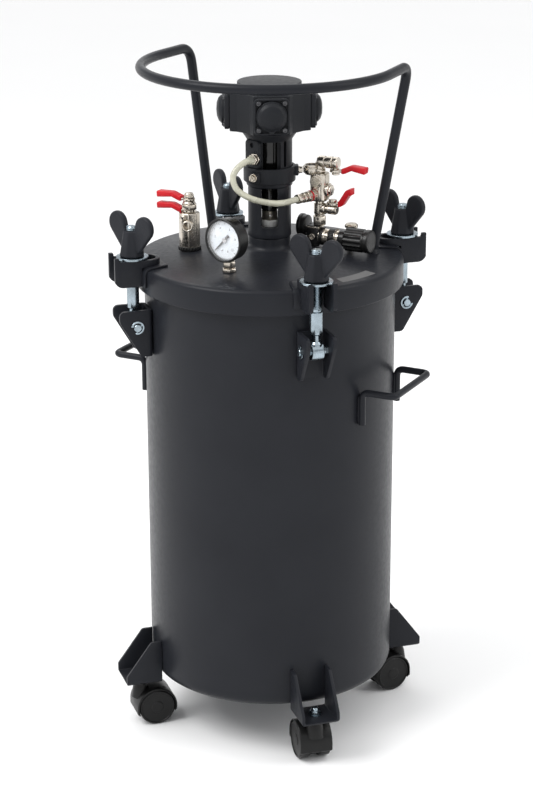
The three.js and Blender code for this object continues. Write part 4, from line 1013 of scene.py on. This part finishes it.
regulator = Vector((48, 38, 670))
stem_x, air_y = 54, 38
regulator_top = span("regulator_body")[1].z
block_low = regulator_top - 26
along = place(*regulator) @ turn(90, "Y")
regulator_black = together(
    block((17.6, 17.6, 26), (regulator.x, regulator.y, block_low), 1.6),
    rod([(6, block_low - 3, 0.5), (6, block_low + 1)], 32,
           place(regulator.x, regulator.y)),
    placed(knurled(12, 5, 40), along @ place(z=9)),
    placed(knurled(12, 9, 40), along @ place(z=22)),
    rod([(11, 36, 0.8), (11, 44.8, 1)], 48, along),
)
piece("regulator_black_parts", regulator_black, "lid", black_plastic, ["regulator_body"])
regulator_bright = together(
    rod([(10.6, 8), (10.6, 16, 0.8), (9.8, 17), (9.8, 21), (11.2, 21.6, 0.4), (11.2, 31.5), (9.6, 32.2),
                  (9.6, 37)], 48, along),
    placed(slab(18.4, 3, 0.8, 18.4, 0.6),
           place(regulator.x, regulator.y - 9.2, block_low + 23) @ turn(-90, "X")),
    rod([(4.4, 0), (4.4, 3, 0.6), (2.2, 3, 0.3), (2.2, 1.6)], 28,
           place(regulator.x, regulator.y - 8.4, regulator.z) @ turn(90, "X")),
)
piece("regulator_bright_parts", regulator_bright, "lid", nickel)
knob = together(
    knurled(16, 26, 15, 2.2, 0.9),
    rod([(14.4, 25.4), (14.4, 28, 0.8), (15.4, 28.8, 0.5), (15.4, 34.6, 1.6), (13.4, 35.8, 0.8),
           (12.4, 35, 0.4)], 56),
)
piece("regulator_ribbed_knob", placed(knob, along @ place(z=45.3)), "regulator_knob", black_plastic,
      ["regulator_knob"])

stub_low, stub_high = span("regulator_gauge")
small_centre = place(stub_low.x, (stub_low.y + stub_high.y) / 2, (stub_low.z + stub_high.z) / 2)
small = together(
    lathe([(0, 1.6), (12.8, 1.6), (13, 0, 0.4), (14.9, 0, 1), (14.9, 4.4, 0.8), (13.8, 5, 0.4),
                  (13.8, 11.2, 1.4), (0, 11.9)], 56, turn(90, "Y")),
    rod([(4.4, 11), (4.4, 16.4)], 28, turn(90, "Y") @ place(y=-8, x=4)),
)
piece("small_gauge", placed(small, small_centre), "lid", black_plastic, ["regulator_gauge"])
small_face = rod([(12.7, 1.2), (12.7, 1.5)], 48, turn(90, "Y"))
piece("small_gauge_dial", placed(small_face, small_centre), "lid", dial_white)

stem_low = regulator_top + gap
manifold_low = stem_low + 32
manifold_top = manifold_low + 38
top_axis, low_axis = manifold_top + 14, regulator_top + 22
bright = [
    placed(hexagon(16, 12, 1), place(stem_x, air_y, stem_low)),
    rod([(6.4, 11), (6.4, 14, 0.5), (7.6, 15, 0.6), (7.6, 28, 0.6), (6, 29), (6, 33)], 40,
           place(stem_x, air_y, stem_low)),
    placed(prism([(11.5 * x, 11.5 * y, 8) for x, y in ((-1, -1), (1, -1), (1, 1), (-1, 1))], 37.6, 2.6, 3),
           place(stem_x, air_y, manifold_low + 0.2)),
    rod([(8.4, 0), (8.4, 1.8, 0.8), (6, 1.8, 0.4), (6, 3)], 36,
           outward(0, 11.4, manifold_low + 27, (stem_x, air_y))),
    rod([(9.4, 0), (9.4, 3.2, 1), (7.4, 4.2, 0.8)], 36,
           outward(90, 11.2, manifold_low + 15, (stem_x, air_y))),
    placed(hexagon(13, 3, 0.6), outward(90, 15, manifold_low + 15, (stem_x, air_y))),
    rod([(6, 36), (6, 51)], 32, place(stem_x, air_y, manifold_low)),
    placed(hexagon(14.5, 5, 0.7), place(stem_x, air_y, manifold_top)),
    rod([
        (6.6, 0, 0.5), (6.6, 1.6, 0.4), (7.8, 2.2, 0.6), (7.8, 10, 1), (6.6, 10.8), (6.6, 12), (8, 12.6, 0.8),
        (8, 20.6, 1), (6.9, 21.4)], 40, place(stem_x - 2, air_y, top_axis) @ turn(90, "Y")),
    lathe([
        (0, 2), (7.4, 2, 0.6), (7.4, 9, 0.8), (5.4, 10), (5.4, 12.4), (6.5, 13, 0.5), (6.5, 23, 0.6),
        (5.2, 25.8, 1.4), (0, 25.9)], 40, place(stem_x, air_y, low_axis) @ turn(90, "Y")),
    rod([(5.2, -15.4, 0.6), (5.2, -12.6, 0.4), (3.9, -12.2), (3.9, 2)], 28,
           place(stem_x + 23, air_y, top_axis)),
    lathe([(0, 0), (3.9, 0), (3.9, 10.6), (5.4, 10.8, 0.4), (5.4, 13.4, 0.6), (0, 13.8)], 28,
           place(stem_x + 19, air_y, low_axis)),
]
cup_at = place(stem_x - 12, air_y, manifold_top - 4)
cup = rod([(8.4, 0, 1), (9.6, 2.6, 0.8), (9.6, 12.9, 0.8), (7.8, 12.9, 0.5), (7.8, 10)], 40)
bright.append(placed(together(cup, placed(knurled(12, 8, 30, 0.7, 0.8), place(z=2.6))), cup_at))
fitting_from = Vector((stem_x - 3, air_y - 6, hose_far_end.z))
fitting_turn = (hose_far_end - fitting_from).to_track_quat("Z", "Y").to_matrix().to_4x4()
fitting_at = Matrix.Translation(fitting_from) @ fitting_turn
bright.append(rod([
    (7, 0), (7, 9, 0.5), (5.6, 9.6), (5.6, 11.6), (7, 12, 0.6), (7, 18.4, 0.8), (5.2, 19), (5.2, 20.6),
    (6.7, 21, 0.5), (6.7, 25, 0.5), (5.3, 25.6), (5.3, 27), (6.2, 27.4, 0.5), (6.2, 36.2, 0.8), (4.2, 36.2),
    (4.2, 33.5)], 40, fitting_at))
piece("manifold_bright_parts", together(*bright), "lid", nickel, ["air_manifold"])
piece("fitting_ring", lathe([(5.4, 9.8, 0.4), (7.5, 9.8, 0.6), (7.5, 11.6, 0.6), (5.4, 11.6, 0.4)], 40,
                             fitting_at), "lid", red_vinyl)
valve_end = lathe([(0, 20), (7, 20), (7, 22, 0.4), (7.9, 22.6, 0.5), (7.9, 29, 1.4), (0, 29.8)], 40,
                   place(stem_x - 2, air_y, top_axis) @ turn(90, "Y"))
# painted shade: a blackened disc on the cup's floor makes the inside of the cup dark
cup_painted_shade = lathe([(0, 9.6), (7.7, 9.6), (7.7, 11), (0, 10.4)], 32, cup_at)
piece("manifold_valve_end", valve_end, "lid", nickel)
piece("manifold_cup_inside", cup_painted_shade, "lid", screw_black)
lever("air_inlet_lever", "inlet_lever", "inlet_lever", place(stem_x + 23, air_y, top_axis - 11.5), 44, 9, 2.5)
lever("motor_air_lever", "motor_valve_lever", "motor_valve_lever", place(stem_x + 19, air_y, low_axis + 7),
      28, 21, 0)

relief = together(
    lathe([(0, 0), (4.4, 0), (4.4, 3, 0.4), (3.4, 3.6), (3.4, 15, 0.6), (5, 16.4, 0.6), (0, 17)], 32),
    placed(knurled(6, 9, 20, 0.4, 0.6), place(z=17)),
    lathe([(0, 22), (8.6, 22, 0.6), (9, 25.4, 0.8), (6.6, 27.6, 1.2), (0, 28)], 40),
)
piece("relief_knob", placed(relief, place(*relief_place, relief_seat + 0.3)), "relief_valve", nickel,
      ["relief_valve"])


# ---------- pressure gauge ----------
def lettering(text, size):
    """Flat figures for a dial."""
    curve = bpy.data.curves.new("figures", "FONT")
    curve.body, curve.size, curve.align_x, curve.align_y = text, size, "CENTER", "CENTER"
    obj = bpy.data.objects.new("figures", curve)
    scene.collection.objects.link(obj)
    shown = obj.evaluated_get(bpy.context.evaluated_depsgraph_get())
    bm = bmesh.new()
    bm.from_mesh(shown.to_mesh())
    shown.to_mesh_clear()
    bpy.data.objects.remove(obj)
    bpy.data.curves.remove(curve)
    return bm


gauge_place, gauge_azimuth = (-1, -111), -10
gauge_at = outward(gauge_azimuth, 3, rim_top + 48, gauge_place)
case = rod([
    (25, -11, 4), (27.2, -7, 1), (27.2, 4.6, 0.4), (28.4, 5.4, 0.6), (28.4, 11, 2), (25.6, 11, 0.8),
    (25, 5),
], 96)
piece("gauge_housing", placed(case, gauge_at), "lid", black_plastic, ["gauge_case"])
piece("gauge_dial", rod([(24.9, 4.6), (24.9, 5.2)], 72, gauge_at), "lid",
      dial_white)
dial_start = 225                   # the angle of its zero, in degrees from +X
marks = []
for k in range(51):
    major = k % 5 == 0
    length, width = (3.2, 0.55) if major else (1.7, 0.25)
    tick = block((length, width, 0.1), (23.6 - length / 2, 0, 5.2))
    marks.append(placed(tick, turn(dial_start - 5.4 * k, "Z")))
for k in range(6):
    middle = arc(16.2, [dial_start - 54 * k])[0]
    marks.append(placed(lettering(str(2 * k), 4.4), place(*middle, 5.3)))
marks.append(lathe([(23.9, 5.2), (24.2, 5.2), (24.2, 5.3), (23.9, 5.3)], 72))
piece("gauge_marks", placed(together(*marks), gauge_at), "lid", dial_ink)
tiny = [rod([(1.2, 5), (1.2, 6, 0.3)], 16, place(x, -14)) for x in (-4.5, 4.5)]
piece("dial_screws", placed(together(*tiny), gauge_at), "lid", steel)
piece("gauge_window", lathe([(0, 9), (25.1, 9), (25.1, 9.6), (0, 9.9)], 72, gauge_at), "lid",
      gauge_glass)
pointer = prism([(-9, -2.1), (-2, -1.4), (20.6, -0.5), (20.6, 0.5), (-2, 1.4), (-9, 2.1)], 0.7)
needle_turn = gauge_at @ turn(dial_start, "Z") @ place(z=6.2)
piece("needle_pointer", placed(pointer, needle_turn), "gauge_needle", dial_ink, ["gauge_needle"])
piece("needle_hub", lathe([(0, 0), (3.4, 0), (3.2, 1.5, 0.6), (0, 1.8)], 28, needle_turn), "gauge_needle",
      steel)
foot = lid_surface(math.hypot(*gauge_place)) + 0.8
gauge_stem = together(
    placed(hexagon(17, 5, 0.8), place(z=foot - 0.6)),
    rod([(6, foot), (6, foot + 20, 0.5)], 32),
    placed(hexagon(15, 8.6, 0.8), place(z=rim_top + 48 - 28.5 - 8.8)),
)
piece("gauge_fitting", placed(gauge_stem, place(*gauge_place)), "lid", nickel)

plate_turn = range(61 - 90, 83 - 90, 3)
plate = prism(arc(164, plate_turn) + arc(149, reversed(plate_turn)), 0.8, 0.3, 1)
for vert in plate.verts:
    vert.co.z += lid_surface(vert.co.xy.length) + 0.1
piece("blank_plate", plate, "lid", plate_grey)
